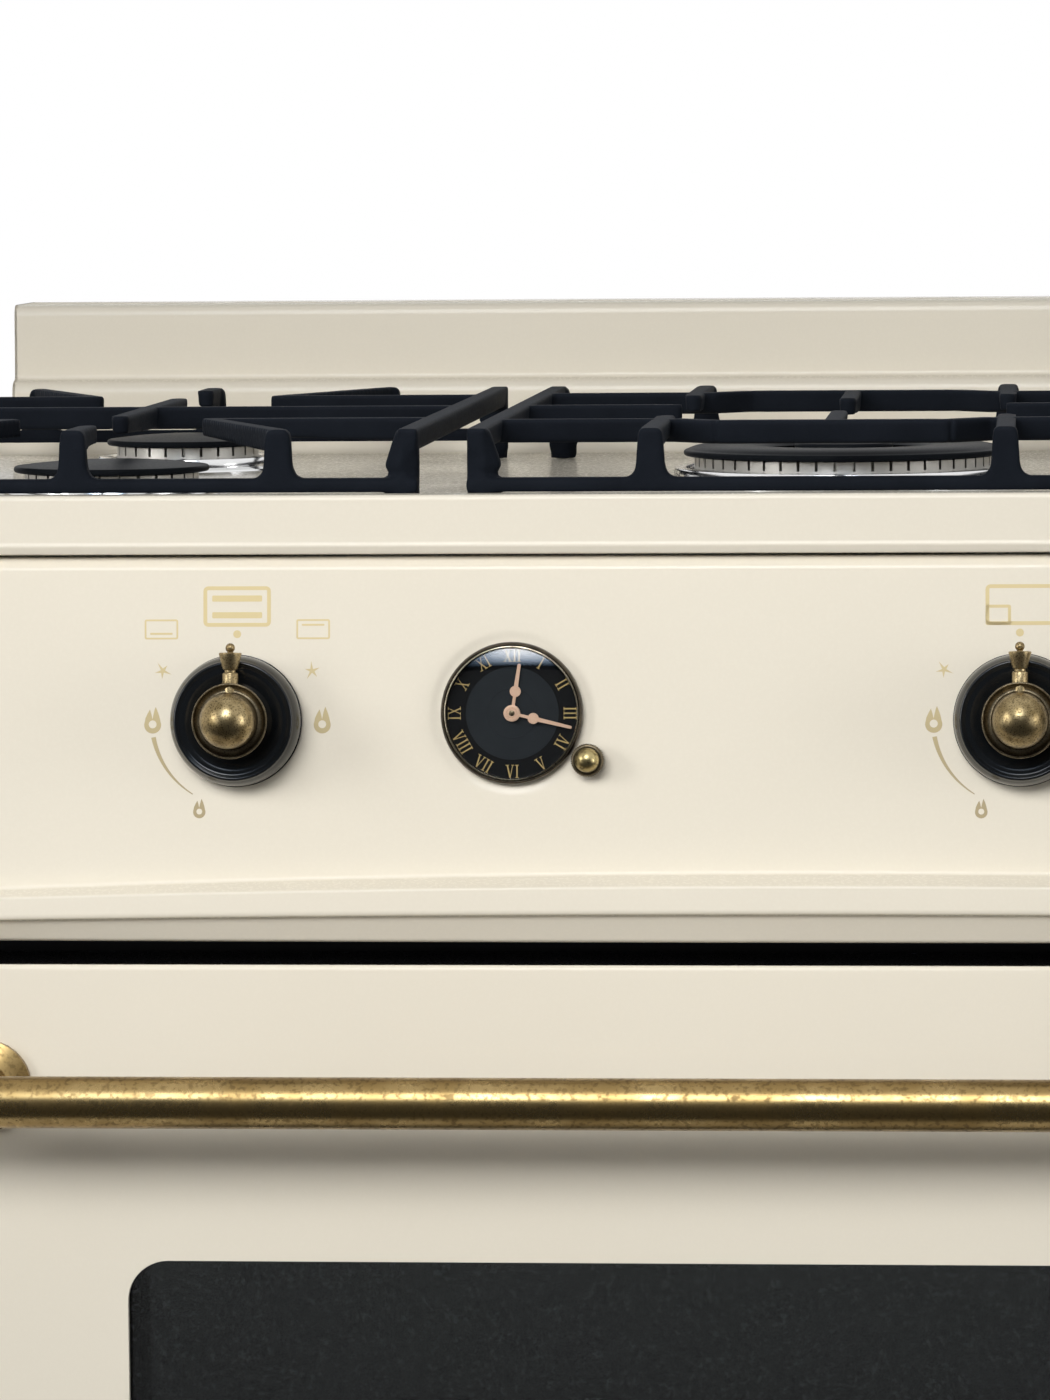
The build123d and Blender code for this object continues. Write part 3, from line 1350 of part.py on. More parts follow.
drawer_handle_rise = 14.0    # handle above the middle of the drawer's front
drawer_handle_standoff = 34.0
drawer_post_inset = 30.0
drawer_post_radius = 5.0
drawer_rose_radius = 11.0
drawer_rose_thickness = 4.0
drawer_handle_z = (drawer_bottom + drawer_top) / 2 + drawer_handle_rise
drawer_handle_y = door_face - drawer_handle_standoff
drawer_post_x = drawer_handle_half_length - drawer_post_inset
with BuildPart() as drawer_handle:
    with Locations(Location((0, drawer_handle_y, drawer_handle_z), (0, 90, 0))):
        Cylinder(drawer_handle_radius, 2 * drawer_handle_half_length)
    for x in (-drawer_post_x, drawer_post_x):
        with Locations(Location((x, (door_face + drawer_handle_y) / 2, drawer_handle_z),
                                (90, 0, 0))):
            Cylinder(drawer_post_radius, door_face - drawer_handle_y)
        with Locations(Location((x, door_face - drawer_rose_thickness / 2, drawer_handle_z),
                                (90, 0, 0))):
            Cylinder(drawer_rose_radius, drawer_rose_thickness)
save(drawer_handle, "drawer_handle")

# Mains gland: moulded bush in the back panel, where a supply lead would enter
gland_bore_radius = 4.0
gland_inner_length = 8.0
gland_collar = 5.0           # collar beyond the thread
gland_collar_length = 6.0
gland_length = 16.0          # outside the back panel
with BuildPart() as mains_gland:
    with BuildSketch(Plane(origin=(gland_x, back_face - sheet, gland_z), x_dir=(1, 0, 0),
                           z_dir=(0, 0, 1))):
        with BuildLine():
            Polyline((gland_bore_radius, -gland_inner_length),
                     (gland_thread_radius, -gland_inner_length), (gland_thread_radius, sheet),
                     (gland_thread_radius + gland_collar, sheet),
                     (gland_thread_radius + gland_collar, sheet + gland_collar_length),
                     (gland_thread_radius, sheet + gland_length),
                     (gland_bore_radius, sheet + gland_length), close=True)
        make_face()
    revolve(axis=Axis(origin=(gland_x, back_face, gland_z), direction=(0, 1, 0)))
save(mains_gland, "mains_gland")

# Screws: pan-head screws round the edge of the back panel
screw_margin = 12.0
with BuildPart() as screws:
    for x in (-half_width + sheet + screw_margin, 0, half_width - sheet - screw_margin):
        for z in (foot_height + screw_margin, (foot_height + skirt_bottom) / 2,
                  skirt_bottom - screw_margin):
            if x == 0 and abs(z - (foot_height + skirt_bottom) / 2) < 1:
                continue
            with Locations(Location((x, back_face + screw_head_height / 2, z), (90, 0, 0))):
                Cylinder(screw_head_radius, screw_head_height)
save(screws, "screws")
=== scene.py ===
import json
import math
import bmesh
import bpy
import numpy as np
from mathutils import Matrix, Vector, geometry


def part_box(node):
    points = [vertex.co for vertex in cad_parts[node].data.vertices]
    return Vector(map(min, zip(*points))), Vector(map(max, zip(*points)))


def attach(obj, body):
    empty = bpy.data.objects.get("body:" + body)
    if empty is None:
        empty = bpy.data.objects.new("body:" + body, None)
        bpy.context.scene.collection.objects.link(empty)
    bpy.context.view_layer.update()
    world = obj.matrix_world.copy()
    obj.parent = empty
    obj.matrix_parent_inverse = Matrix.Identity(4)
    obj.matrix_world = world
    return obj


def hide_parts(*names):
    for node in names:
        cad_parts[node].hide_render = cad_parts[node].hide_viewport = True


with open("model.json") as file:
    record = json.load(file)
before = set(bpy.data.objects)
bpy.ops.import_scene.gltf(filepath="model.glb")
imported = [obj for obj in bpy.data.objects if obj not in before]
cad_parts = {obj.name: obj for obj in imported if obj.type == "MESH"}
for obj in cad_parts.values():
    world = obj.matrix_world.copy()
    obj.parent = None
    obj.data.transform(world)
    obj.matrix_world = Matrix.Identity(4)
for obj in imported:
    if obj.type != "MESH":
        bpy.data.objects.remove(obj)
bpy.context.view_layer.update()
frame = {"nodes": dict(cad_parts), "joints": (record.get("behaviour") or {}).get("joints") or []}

# Camera. A long lens stands 2.4 m in front of the range, a little above the hob, and looks
# slightly down and to the left, so that the control panel fills the frame.
focal_length, frame_height, sensor = 6400.0, 1400.0, 36.0
eye = (0.0767, -2.7366, 1.0326)
turn, dip, roll = 4.49, 4.9, -0.46
lens = bpy.data.cameras.new("camera")
lens.sensor_width = sensor
lens.lens = focal_length * sensor / frame_height
camera = bpy.data.objects.new("camera", lens)
camera.matrix_world = (Matrix.Translation(eye) @ Matrix.Rotation(math.radians(turn), 4, "Z")
                       @ Matrix.Rotation(math.radians(90 - dip), 4, "X")
                       @ Matrix.Rotation(math.radians(roll), 4, "Z"))
bpy.context.scene.collection.objects.link(camera)
bpy.context.scene.camera = camera
bpy.context.scene.view_settings.view_transform = "Standard"

# Studio. A pale floor under a white sky, a soft lamp in front, one on each side and one behind.
# Only glossy rays see the two dim cards, the window and the card at the left. The floor's own
# glow lights nothing: only the camera, mirrors and panes see it.


def paint(red, green, blue):
    """A colour as it reads on screen, 0 to 255 a channel, as linear light."""
    channels = np.array((red, green, blue)) / 255
    linear = np.where(channels > 0.04045, ((channels + 0.055) / 1.055) ** 2.4, channels / 12.92)
    return (*linear.tolist(), 1.0)


class Value:
    """An output of a node. Each operator adds one Math node to the same finish."""

    def __init__(self, finish, socket):
        self.finish, self.socket = finish, socket

    def __add__(self, other):
        return self.finish.math("ADD", self, other)

    def __sub__(self, other):
        return self.finish.math("SUBTRACT", self, other)

    def __rsub__(self, other):
        return self.finish.math("SUBTRACT", other, self)

    def __mul__(self, other):
        return self.finish.math("MULTIPLY", self, other)

    def __pow__(self, other):
        return self.finish.math("POWER", self, other)

    __radd__, __rmul__ = __add__, __mul__


class Finish:
    """A material with one Principled shader. What is the same all over is set on the
    shader's own sockets, and feed() links what varies over the surface."""

    def __init__(self, name, sockets):
        self.material = bpy.data.materials.new(name)
        self.material.use_nodes = True
        self.tree = self.material.node_tree
        self.shader = self.tree.nodes["Principled BSDF"]
        for socket, value in sockets.items():
            self.shader.inputs[socket].default_value = value
        self.place = self.node("ShaderNodeTexCoord", {}, {}, "Object")

    def node(self, kind, settings, values, output=0):
        """A node of that type: its settings, then the values or links of its inputs."""
        made = self.tree.nodes.new(kind)
        for setting, value in settings.items():
            setattr(made, setting, value)
        for key, value in values.items():
            if isinstance(value, Value):
                self.tree.links.new(value.socket, made.inputs[key])
            else:
                made.inputs[key].default_value = value
        return Value(self, made.outputs[output])

    def math(self, operation, *values):
        return self.node("ShaderNodeMath", {"operation": operation}, dict(enumerate(values)))

    def noise(self, scale, detail=2.0, place=None):
        values = {"Vector": place or self.place, "Scale": scale, "Detail": detail}
        return self.node("ShaderNodeTexNoise", {}, values)

    def step(self, value, low, high):
        """0 below low and 1 above high, with a smooth run between them."""
        return self.node("ShaderNodeMapRange", {"interpolation_type": "SMOOTHSTEP"},
                         {"Value": value, "From Min": low, "From Max": high})

    def mix(self, share, first, second):
        """A colour that runs from first to second."""
        return self.node("ShaderNodeMix", {"data_type": "RGBA"}, {0: share, 6: first, 7: second}, 2)

    def axis(self, index):
        """One coordinate of the surface point, in metres."""
        return self.node("ShaderNodeSeparateXYZ", {}, {0: self.place}, index)

    def bump(self, height, strength, depth):
        """A relief of that depth in metres, fed to the shader's normal."""
        values = {"Height": height, "Strength": strength, "Distance": depth}
        self.feed("Normal", self.node("ShaderNodeBump", {}, values))

    def feed(self, socket, value):
        self.tree.links.new(value.socket, self.shader.inputs[socket])


floor_reach, floor_glow, far_glow, glow_run = 9.0, 0.28, 0.42, (1.2, 7.0)
sky_strength = 0.1
front_lamp = ("front_lamp", (-0.45, -1.9, 1.6), (0.0, -0.27, 0.8), 1.5, 0.6, 6.0)
left_lamp = ("left_lamp", (-2.3, -1.7, 1.5), (0.0, -0.25, 0.85), 0.7, 1.2, 3.7)
lamp_spread = 75
side_lamp = ("side_lamp", (2.6, -1.3, 1.0), (0.2, -0.25, 0.8), 0.7, 1.7, 3.0)
back_lamp = ("back_lamp", (-1.6, 2.4, 2.4), (0.0, 0.3, 0.5), 1.6, 1.2, 8.0)
card_corners = [(-3.4, -4.6, -0.4), (3.4, -4.6, -0.4), (3.4, -4.6, 2.6), (-3.4, -4.6, 2.6)]
floor_card_corners = [(-3.4, -4.6, 0.004), (3.4, -4.6, 0.004), (3.4, -0.6, 0.004),
                      (-3.4, -0.6, 0.004)]
window_corners = [(-1.3, -2.6, 1.7), (0.8, -2.6, 1.7), (0.8, -2.6, 3.6), (-1.3, -2.6, 3.6)]
left_card_corners = [(-2.4, -2.4, 0.5), (-1.9, -2.9, 0.5), (-1.9, -2.9, 1.9), (-2.4, -2.4, 1.9)]
card_light, left_card_light, window_light = 0.06, 1.6, 12.0
window_left, window_right, window_foot = (-1.15, -0.25), (0.0, 0.62), (1.76, 2.12)
unlit, white, window_haze = (0.0, 0.0, 0.0, 1.0), (1.0, 1.0, 1.0, 1.0), (0.22, 0.36, 0.55, 1.0)


def stage_sheet(name, corners, colour):
    """A flat sheet of the studio, which isn't part of the range."""
    mesh = bpy.data.meshes.new(name)
    mesh.from_pydata(corners, [], [tuple(range(len(corners)))])
    sheet = bpy.data.objects.new(name, mesh)
    bpy.context.scene.collection.objects.link(sheet)
    finish = Finish(name, {"Base Color": colour, "Roughness": 0.9})
    mesh.materials.append(finish.material)
    return sheet, finish


_, floor = stage_sheet("floor", [(x * floor_reach, y * floor_reach, 0)
                                 for x, y in ((-1, -1), (1, -1), (1, 1), (-1, 1))],
                       paint(204, 203, 200))
watched = sum(floor.node("ShaderNodeLightPath", {}, {}, f"Is {ray} Ray")
              for ray in ("Camera", "Glossy", "Transmission"))
away = floor.node("ShaderNodeVectorMath", {"operation": "LENGTH"}, {0: floor.place}, "Value")
floor.feed("Emission Color", floor.mix(watched * (floor.step(away, *glow_run) * far_glow
                                                  + floor_glow), unlit, white))
floor.shader.inputs["Emission Strength"].default_value = 1.0
for name, corners, strength in (("dim_card", card_corners, card_light),
                                ("floor_card", floor_card_corners, card_light),
                                ("left_card", left_card_corners, left_card_light),
                                ("window", window_corners, window_light)):
    card, glow = stage_sheet(name, corners, unlit)
    glow.shader.inputs["Emission Color"].default_value = white
    glow.shader.inputs["Emission Strength"].default_value = strength
    glow.shader.inputs["Specular IOR Level"].default_value = 0.0
    for ray in ("camera", "diffuse", "transmission", "shadow", "volume_scatter"):
        setattr(card, f"visible_{ray}", False)
# The window, the last card, fades through a blue haze at its sides and its foot.
shape = (glow.step(glow.axis(0), *window_left) * (1.0 - glow.step(glow.axis(0), *window_right))
         * glow.step(glow.axis(2), *window_foot))
glow.feed("Emission Color", glow.mix(shape, glow.mix(shape ** 0.5, unlit, window_haze), white))
for name, place, aim, width, height, power in (front_lamp, left_lamp, side_lamp, back_lamp):
    light = bpy.data.lights.new(name, "AREA")
    light.shape, light.size, light.size_y, light.energy = "RECTANGLE", width, height, power
    light.spread = math.radians(lamp_spread)
    lamp = bpy.data.objects.new(name, light)
    lamp.location = place
    lamp.rotation_euler = (Vector(aim) - Vector(place)).to_track_quat("-Z", "Y").to_euler()
    lamp.visible_camera = False
    lamp.visible_glossy = lamp.visible_transmission = name in ("left_lamp", "side_lamp")
    bpy.context.scene.collection.objects.link(lamp)
world = bpy.data.worlds.new("sky")
world.use_nodes = True
bpy.context.scene.world = world
sky = world.node_tree.nodes["Background"]
sky.inputs["Color"].default_value = white
rays = world.node_tree.nodes.new("ShaderNodeLightPath")
seen = None
for ray in ("Is Camera Ray", "Is Glossy Ray", "Is Transmission Ray"):
    add = world.node_tree.nodes.new("ShaderNodeMath")
    add.operation = "ADD"
    add.use_clamp = True
    world.node_tree.links.new(rays.outputs[ray], add.inputs[0])
    add.inputs[1].default_value = 0.0
    if seen:
        world.node_tree.links.new(seen, add.inputs[1])
    seen = add.outputs[0]
level = world.node_tree.nodes.new("ShaderNodeMapRange")
level.inputs["To Min"].default_value = sky_strength
world.node_tree.links.new(seen, level.inputs["Value"])
world.node_tree.links.new(level.outputs["Result"], sky.inputs["Strength"])

# Hob top. One deep-drawn steel tray in cream vitreous enamel: a skirt that ends in a small bead,
# a raised rim and a recessed deck, pierced for the burners and the oven's flue. In this file a
# part is an array of points and a list of face arrays, and a piece is a mesh of such parts.
cream = paint(238, 231, 215)
cream_shade = paint(232, 224, 207)
half_width = 0.45
skirt_front, skirt_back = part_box("hob_top")[0].y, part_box("hob_top")[1].y
skirt_low, rim_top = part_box("hob_top")[0].z, 0.9
rim_roll, rim_width, deck_drop = 0.0024, 0.012, 0.008
bead_out, bead_low, bead_high, bead_tuck = 0.0007, 0.0036, 0.0048, 0.0018
bead_rounds, skirt_fold, skirt_return = (0.0012, 0.0009, 0.0005), 0.006, 0.0005
dip_lap, dip_start, dip_end, deck_edge, dip_rounds = 0.001, 0.0015, 0.005, 0.012, (0.002, 0.004)
deck_length, deck_corner, hob_corner, square_corner = 0.505, 0.014, 0.009, 0.0001
sheet_thickness = 0.0012
flue_slot, flue_slot_corner, flue_behind = (0.0585, 0.0065), 0.002, 0.0075
weld_distance, crease_angle = 2e-6, 38.0


def grid(points, wrap_u=False, wrap_v=False):
    """The quads of a surface given by rows and columns of points. A wrapped side is joined
    to its first row or column."""
    rows, columns = points.shape[:2]
    index = np.arange(rows * columns).reshape(rows, columns)
    if wrap_u:
        index = np.vstack([index, index[:1]])
    if wrap_v:
        index = np.hstack([index, index[:, :1]])
    quads = np.stack([index[:-1, :-1], index[1:, :-1], index[1:, 1:], index[:-1, 1:]], -1)
    return points.reshape(-1, 3), [quads.reshape(-1, 4)]


def plate(outlines, low, high):
    """A flat plate between two heights. The first outline is its edge, the rest are holes."""
    flat = np.concatenate(outlines)
    loops = [[Vector((x, y, 0)) for x, y in outline] for outline in outlines]
    triangles = np.array(geometry.tessellate_polygon(loops))
    points = np.vstack([np.column_stack([flat, np.full(len(flat), z)]) for z in (low, high)])
    walls, start = [], 0
    for outline in outlines:
        here = np.arange(len(outline)) + start
        after = np.roll(here, -1)
        walls.append(np.column_stack([here, after, after + len(flat), here + len(flat)]))
        start += len(outline)
    return points, [triangles[:, ::-1], triangles + len(flat), np.vstack(walls)]


def flat(outlines, height):
    """A flat sheet with no thickness: an edge, and holes in it."""
    points, faces = plate(outlines, height, height)
    return points[len(points) // 2:], [faces[1] - len(points) // 2]


def circle(radius, steps=48, centre=(0.0, 0.0)):
    """A round outline."""
    angle = np.linspace(0, 2 * np.pi, steps, endpoint=False)
    return np.column_stack([np.cos(angle), np.sin(angle)]) * radius + np.array(centre)


def rounded(corners, cuts, steps=6, closed=False):
    """An outline whose corners are rounded by a parabola that leaves each side at its cut,
    at most half the side, before the corner. Works on (..., corners, 2) arrays."""
    corners = np.asarray(corners, float)
    if closed:
        corners = np.concatenate([corners[..., -1:, :], corners, corners[..., :1, :]], -2)
    here = corners[..., 1:-1, :]
    cuts = np.broadcast_to(np.asarray(cuts, float), here.shape[:-1])[..., None]
    ends = []
    for beside in (corners[..., :-2, :], corners[..., 2:, :]):
        side = np.linalg.norm(beside - here, axis=-1, keepdims=True)
        ends.append(here + (beside - here) * np.minimum(cuts / side, 0.499))
    t = np.linspace(0, 1, steps)[:, None]
    curve = ((1 - t) ** 2 * ends[0][..., None, :] + 2 * t * (1 - t) * here[..., None, :]
             + t ** 2 * ends[1][..., None, :])
    curve = curve.reshape(*curve.shape[:-3], -1, 2)
    if closed:
        return curve
    return np.concatenate([corners[..., :1, :], curve, corners[..., -1:, :]], -2)


def outward(mesh):
    """Weld the mesh's seams and poles and turn its faces outwards."""
    shape = bmesh.new()
    shape.from_mesh(mesh)
    bmesh.ops.remove_doubles(shape, verts=shape.verts, dist=weld_distance)
    bmesh.ops.recalc_face_normals(shape, faces=shape.faces)
    shape.to_mesh(mesh)
    shape.free()


def fitted(made, body, stands_for=()):
    """A finished object rides on its body and stands for the nodes that it replaces."""
    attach(made, body)
    if stands_for:
        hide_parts(*stands_for)
    return made


def piece(name, parts, finish, body="root", stands_for=(), sharp=crease_angle,
          weld=True):
    """One mesh from its parts, riding on a body. Edges sharper than that angle stay crisp."""
    mesh = bpy.data.meshes.new(name)
    starts = np.cumsum([0] + [len(points) for points, _ in parts])
    faces = [face + start for start, (_, group) in zip(starts, parts) for face in group]
    corners = np.concatenate([face.ravel() for face in faces])
    sizes = np.concatenate([np.full(len(face), face.shape[1]) for face in faces])
    points = np.vstack([points for points, _ in parts])
    mesh.vertices.add(len(points))
    mesh.vertices.foreach_set("co", points.astype(np.float32).ravel())
    mesh.loops.add(len(corners))
    mesh.loops.foreach_set("vertex_index", corners.astype(np.int32))
    mesh.polygons.add(len(sizes))
    mesh.polygons.foreach_set("loop_start", np.cumsum(np.append(0, sizes[:-1])).astype(np.int32))
    mesh.update(calc_edges=True)
    mesh.validate()
    if weld:
        outward(mesh)
    mesh.shade_smooth()
    mesh.set_sharp_from_angle(angle=math.radians(sharp))
    made = bpy.data.objects.new(name, mesh)
    bpy.context.scene.collection.objects.link(made)
    mesh.materials.append(finish.material)
    return fitted(made, body, stands_for)


def thickened(made, thickness):
    """Give an open sheet its thickness, on its inner side."""
    solid = made.modifiers.new("thickness", "SOLIDIFY")
    solid.thickness, solid.offset = thickness, -1.0
    even = made.modifiers.new("even_shade", "WEIGHTED_NORMAL")
    even.keep_sharp = True
    return made


def enamel(name, colour, shade, roughness, coat):
    """Vitreous enamel: a glossy clear layer over a colour that drifts a little, with a very
    faint orange-peel relief."""
    finish = Finish(name, {"Coat Weight": coat, "Coat Roughness": 0.05,
                           "Specular IOR Level": 0.05})
    drift = finish.noise(5.0, 3.0)
    speck = finish.noise(700.0, 1.0)
    finish.feed("Base Color", finish.mix(drift * 0.8 + speck * 0.2, shade, colour))
    finish.feed("Roughness", speck * 0.06 + roughness)
    finish.bump(finish.noise(240.0, 1.0), 0.02, 0.0002)
    return finish


def ring(half_x, half_y, corner, profile, centre_y, steps=8):
    """A profile of (inset, height) pairs carried round a rounded rectangle: every corner of
    the rectangle is an arc about the same centre, so an inset shrinks the arc's radius."""
    inset, height = np.array(profile, float).T
    quarter = np.linspace(0, np.pi / 2, steps)
    angle = np.concatenate([quarter + turn * np.pi / 2 for turn in range(4)])
    away = np.array([(1, 1), (-1, 1), (-1, -1), (1, -1)], float).repeat(steps, 0)
    centre = away * (half_x - corner, half_y - corner)
    radius = (corner - inset)[None, :]
    x = centre[:, :1] + radius * np.cos(angle)[:, None]
    y = centre[:, 1:] + radius * np.sin(angle)[:, None] + centre_y
    return grid(np.stack([x, y, np.broadcast_to(height, x.shape)], -1), wrap_u=True)


def rounded_box(half_x, half_y, corner, centre=(0.0, 0.0), steps=8):
    """A rounded rectangle as an outline."""
    points, _ = ring(half_x, half_y, corner, [(0.0, 0.0)], centre[1], steps)
    return points[:, :2] + (centre[0], 0.0)


cream_enamel = enamel("cream_enamel", cream, cream_shade, 0.24, 0.25)
hob_half_depth = (skirt_back - skirt_front) / 2
hob_centre = (skirt_back + skirt_front) / 2
deck_centre = skirt_front + rim_width + deck_length / 2
deck_half = half_width - rim_width
skirt_profile = rounded([(skirt_fold, skirt_low + skirt_return), (bead_tuck, skirt_low),
                         (0.0, skirt_low + bead_low), (bead_out, skirt_low + bead_high),
                         (bead_out, rim_top), (bead_out + rim_roll * 2, rim_top)],
                        [*bead_rounds, rim_roll], 8)
dip_profile = rounded([(-dip_lap, rim_top), (dip_start, rim_top), (dip_end, rim_top - deck_drop),
                       (deck_edge, rim_top - deck_drop)], dip_rounds)
burner_at = {name: sum(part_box(f"burner_cap_{name}"), Vector()) / 2
             for name in ("left_front", "left_rear", "centre", "right_rear", "right_front")}
cap_radius = {name: (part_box(f"burner_cap_{name}")[1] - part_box(f"burner_cap_{name}")[0]).x / 2
              for name in burner_at}
inner_edge = bead_out + rim_roll * 2
top_sheet = flat([rounded_box(half_width - inner_edge, hob_half_depth - inner_edge,
                              square_corner, (0, hob_centre)),
                  rounded_box(deck_half + dip_lap, deck_length / 2 + dip_lap,
                              deck_corner + dip_lap, (0, deck_centre)),
                  rounded_box(*flue_slot, flue_slot_corner,
                              (0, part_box("oven_liner")[1].y - flue_behind))],
                 rim_top)
deck_holes = [circle(cap_radius[name], 64, burner_at[name].xy) for name in burner_at]
deck_sheet = flat([rounded_box(deck_half - deck_edge, deck_length / 2 - deck_edge,
                               deck_corner - deck_edge, (0, deck_centre))] + deck_holes,
                  rim_top - deck_drop)
hob = piece("hob_tray", [ring(half_width, hob_half_depth, hob_corner, skirt_profile, hob_centre),
                         ring(deck_half, deck_length / 2, deck_corner, dip_profile, deck_centre),
                         top_sheet, deck_sheet],
            cream_enamel, stands_for=["hob_top"], sharp=60)
thickened(hob, sheet_thickness)

# Backguard. A low upstand of enamelled sheet screwed on behind the deck, rolled over along
# its lower ledge and at the top, with vent slots above the oven's flue.
guard_low, guard_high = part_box("backguard")
ledge_rise, ledge_step, guard_roll = 0.025, 0.009, 0.006
ledge_slope, face_slope, roll_run, ledge_round = 0.002, 0.001, 0.012, 0.002
guard_slots, guard_slot_pitch, guard_slot_half, guard_slot_high = 8, 0.08, 0.02, 0.003


def placed(part, matrix):
    """A part moved by a 4 by 4 matrix."""
    points, faces = part
    matrix = np.array(matrix, float)
    return points @ matrix[:3, :3].T + matrix[:3, 3], faces


def along_x(section, x):
    """A section of (y, height) pairs, or one section for each x, carried along those x."""
    section = np.broadcast_to(section, (len(x), *np.shape(section)[-2:]))
    x = np.broadcast_to(np.reshape(x, (-1, 1, 1)), (*section.shape[:2], 1))
    return grid(np.concatenate([x, section], -1))


guard_side = rounded([(guard_low.y, guard_low.z), (guard_low.y, guard_low.z + ledge_rise),
                      (guard_low.y + ledge_step, guard_low.z + ledge_rise + ledge_slope),
                      (guard_low.y + ledge_step + face_slope, guard_high.z),
                      (guard_low.y + ledge_step + roll_run, guard_high.z)],
                     [guard_roll, ledge_round, guard_roll])
guard_face = along_x(guard_side, (guard_low.x, guard_high.x))
guard_flat = guard_low.y + ledge_step + roll_run
guard_middle = (guard_flat + guard_high.y) / 2
guard_rim = np.array([(guard_low.x, guard_flat), (guard_high.x, guard_flat),
                      (guard_high.x, guard_high.y), (guard_low.x, guard_high.y)])
slot_x = (np.arange(guard_slots) - (guard_slots - 1) / 2) * guard_slot_pitch
guard_top = plate([guard_rim] + [rounded_box(guard_slot_half, guard_slot_high, guard_slot_high,
                                             (x, guard_middle), 5) for x in slot_x],
                  guard_high.z - sheet_thickness, guard_high.z)
guard_outline = np.vstack([guard_side, [(guard_high.y, guard_high.z), (guard_high.y, guard_low.z)]])
turn_to_x = Matrix(((0, 0, 1, 0), (1, 0, 0, 0), (0, 1, 0, 0), (0, 0, 0, 1)))
guard_ends = [placed(plate([guard_outline], x - side * sheet_thickness, x), turn_to_x)
              for x, side in ((guard_low.x, -1), (guard_high.x, 1))]
guard_back = grid(np.array([[(guard_low.x, guard_high.y, z), (guard_high.x, guard_high.y, z)]
                            for z in (guard_low.z, guard_high.z)]))
piece("backguard_shell", [guard_face, guard_top, guard_back, *guard_ends], cream_enamel,
      stands_for=["backguard"])

# Control panel. One folded sheet in the same enamel, leaning back 4.8 degrees, with a rolled
# top fold and a bowed lip pressed out along its lower edge, and a shallow dish for the clock.
lean = math.radians(4.8)
panel_low, panel_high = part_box("control_panel")
panel_foot_y = panel_high.y
door_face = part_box("door_skin")[0].y
panel_top, panel_bottom = panel_high.z, panel_low.z
top_setback, bevel_height, bevel_run = 0.012, 0.0042, 0.0035
upper_drop, lower_drop, crease_drop = 0.1229, 0.1264, 0.1378
upper_fall, lower_fall, crease_fall = 0.0123, 0.0102, 0.0058
lip_reach, lip_bow, lip_return, lip_slope = 0.011, 0.0065, 0.0035, 0.001
under_lean, crease_round, crease_turn, foot_rise = 0.0065, 0.0005, 0.0002, 0.0004
lip_rounds, fold_rounds = (0.0014, 0.0010, 0.0024, 0.0008, 0.002), (0.0008, 0.0012)
band_low, band_high = 0.0075, 0.108
panel_columns = 121
face_normal = Vector((0.0, -math.cos(lean), math.sin(lean)))
face_up = Vector((0.0, math.sin(lean), math.cos(lean)))


def face_y(drop):
    """Front of the leaning face at a drop below the panel's top."""
    return door_face + top_setback - math.tan(lean) * (drop - bevel_height)


def panel_corners(x):
    """Corners of the folded section at each x, as (y, z): the lip reaches less and its lines
    fall lower towards the ends, with the square of the distance from the centre."""
    share = (x / half_width) ** 2
    upper = upper_drop + upper_fall * share
    lower = lower_drop + lower_fall * share
    crease = crease_drop + crease_fall * share
    front = door_face - lip_reach + lip_bow * share
    flat = np.ones_like(x)
    pairs = [(face_y(band_high) * flat, (panel_top - band_high) * flat),
             (face_y(upper), panel_top - upper), (front + lip_slope, panel_top - lower),
             (front, panel_top - crease + crease_round),
             (front + lip_return, panel_top - crease - crease_turn),
             (front + lip_return + under_lean, (panel_bottom + foot_rise) * flat),
             (panel_foot_y * flat, panel_bottom * flat)]
    return np.stack([np.stack(pair, -1) for pair in pairs], -2)


def on_face(x, drop):
    """The matrix of a frame on the panel's face, with X to the right and Z outwards."""
    matrix = Matrix.Identity(4)
    for column, axis in enumerate((Vector((1, 0, 0)), face_up, face_normal)):
        matrix.col[column][:3] = axis
    matrix.translation = Vector((x, face_y(drop), panel_top - drop))
    return matrix


across = np.linspace(-half_width, half_width, panel_columns)
lower_section = rounded(panel_corners(across), lip_rounds)
upper_section = rounded([(panel_foot_y, panel_top),
                         (door_face + top_setback + bevel_run, panel_top),
                         (door_face + top_setback, panel_top - bevel_height),
                         (face_y(band_low), panel_top - band_low)], fold_rounds)
joint_at = {joint["name"]: joint for joint in frame["joints"]}
knob_names = ["oven"] + [f"burner_{name}" for name in burner_at]


def foot_of(point):
    """Where an axis that leaves the panel at a right angle meets its face."""
    offset = (Vector(point) - Vector((0, face_y(0), panel_top))).dot(face_normal)
    return Vector(point) - face_normal * offset


knob_at = {name: foot_of(joint_at[f"{name}_turn"]["pos_m"]) for name in knob_names}
clock_at = foot_of(joint_at["minute_hand_turn"]["pos_m"])
set_at = foot_of(joint_at["set_knob_turn"]["pos_m"])
face_middle = on_face(0.0, (band_low + band_high) / 2)
clock_dish_radius, clock_hole, stem_hole = 0.0335, 0.0264, 0.0069


def in_face(point):
    """A point of the face as (x, height) in the frame at its middle."""
    return (face_middle.inverted() @ point).xy


band_half = (band_high - band_low) / 2 / math.cos(lean)
edge = np.vstack([np.column_stack([across, np.full(panel_columns, -band_half)]),
                  np.column_stack([across[::-1], np.full(panel_columns, band_half)])])
face_holes = [circle(stem_hole, 40, in_face(knob_at[name])) for name in knob_names]
face_holes.append(circle(clock_dish_radius, 96, in_face(clock_at)))
band = flat([edge] + face_holes, 0.0)
dish_profile = [(clock_dish_radius, 0.0), (0.0325, -0.00003), (0.0316, -0.00012),
                (0.0305, -0.00036), (0.0295, -0.0006), (0.0286, -0.0007), (clock_hole, -0.0007),
                (clock_hole, -0.003)]


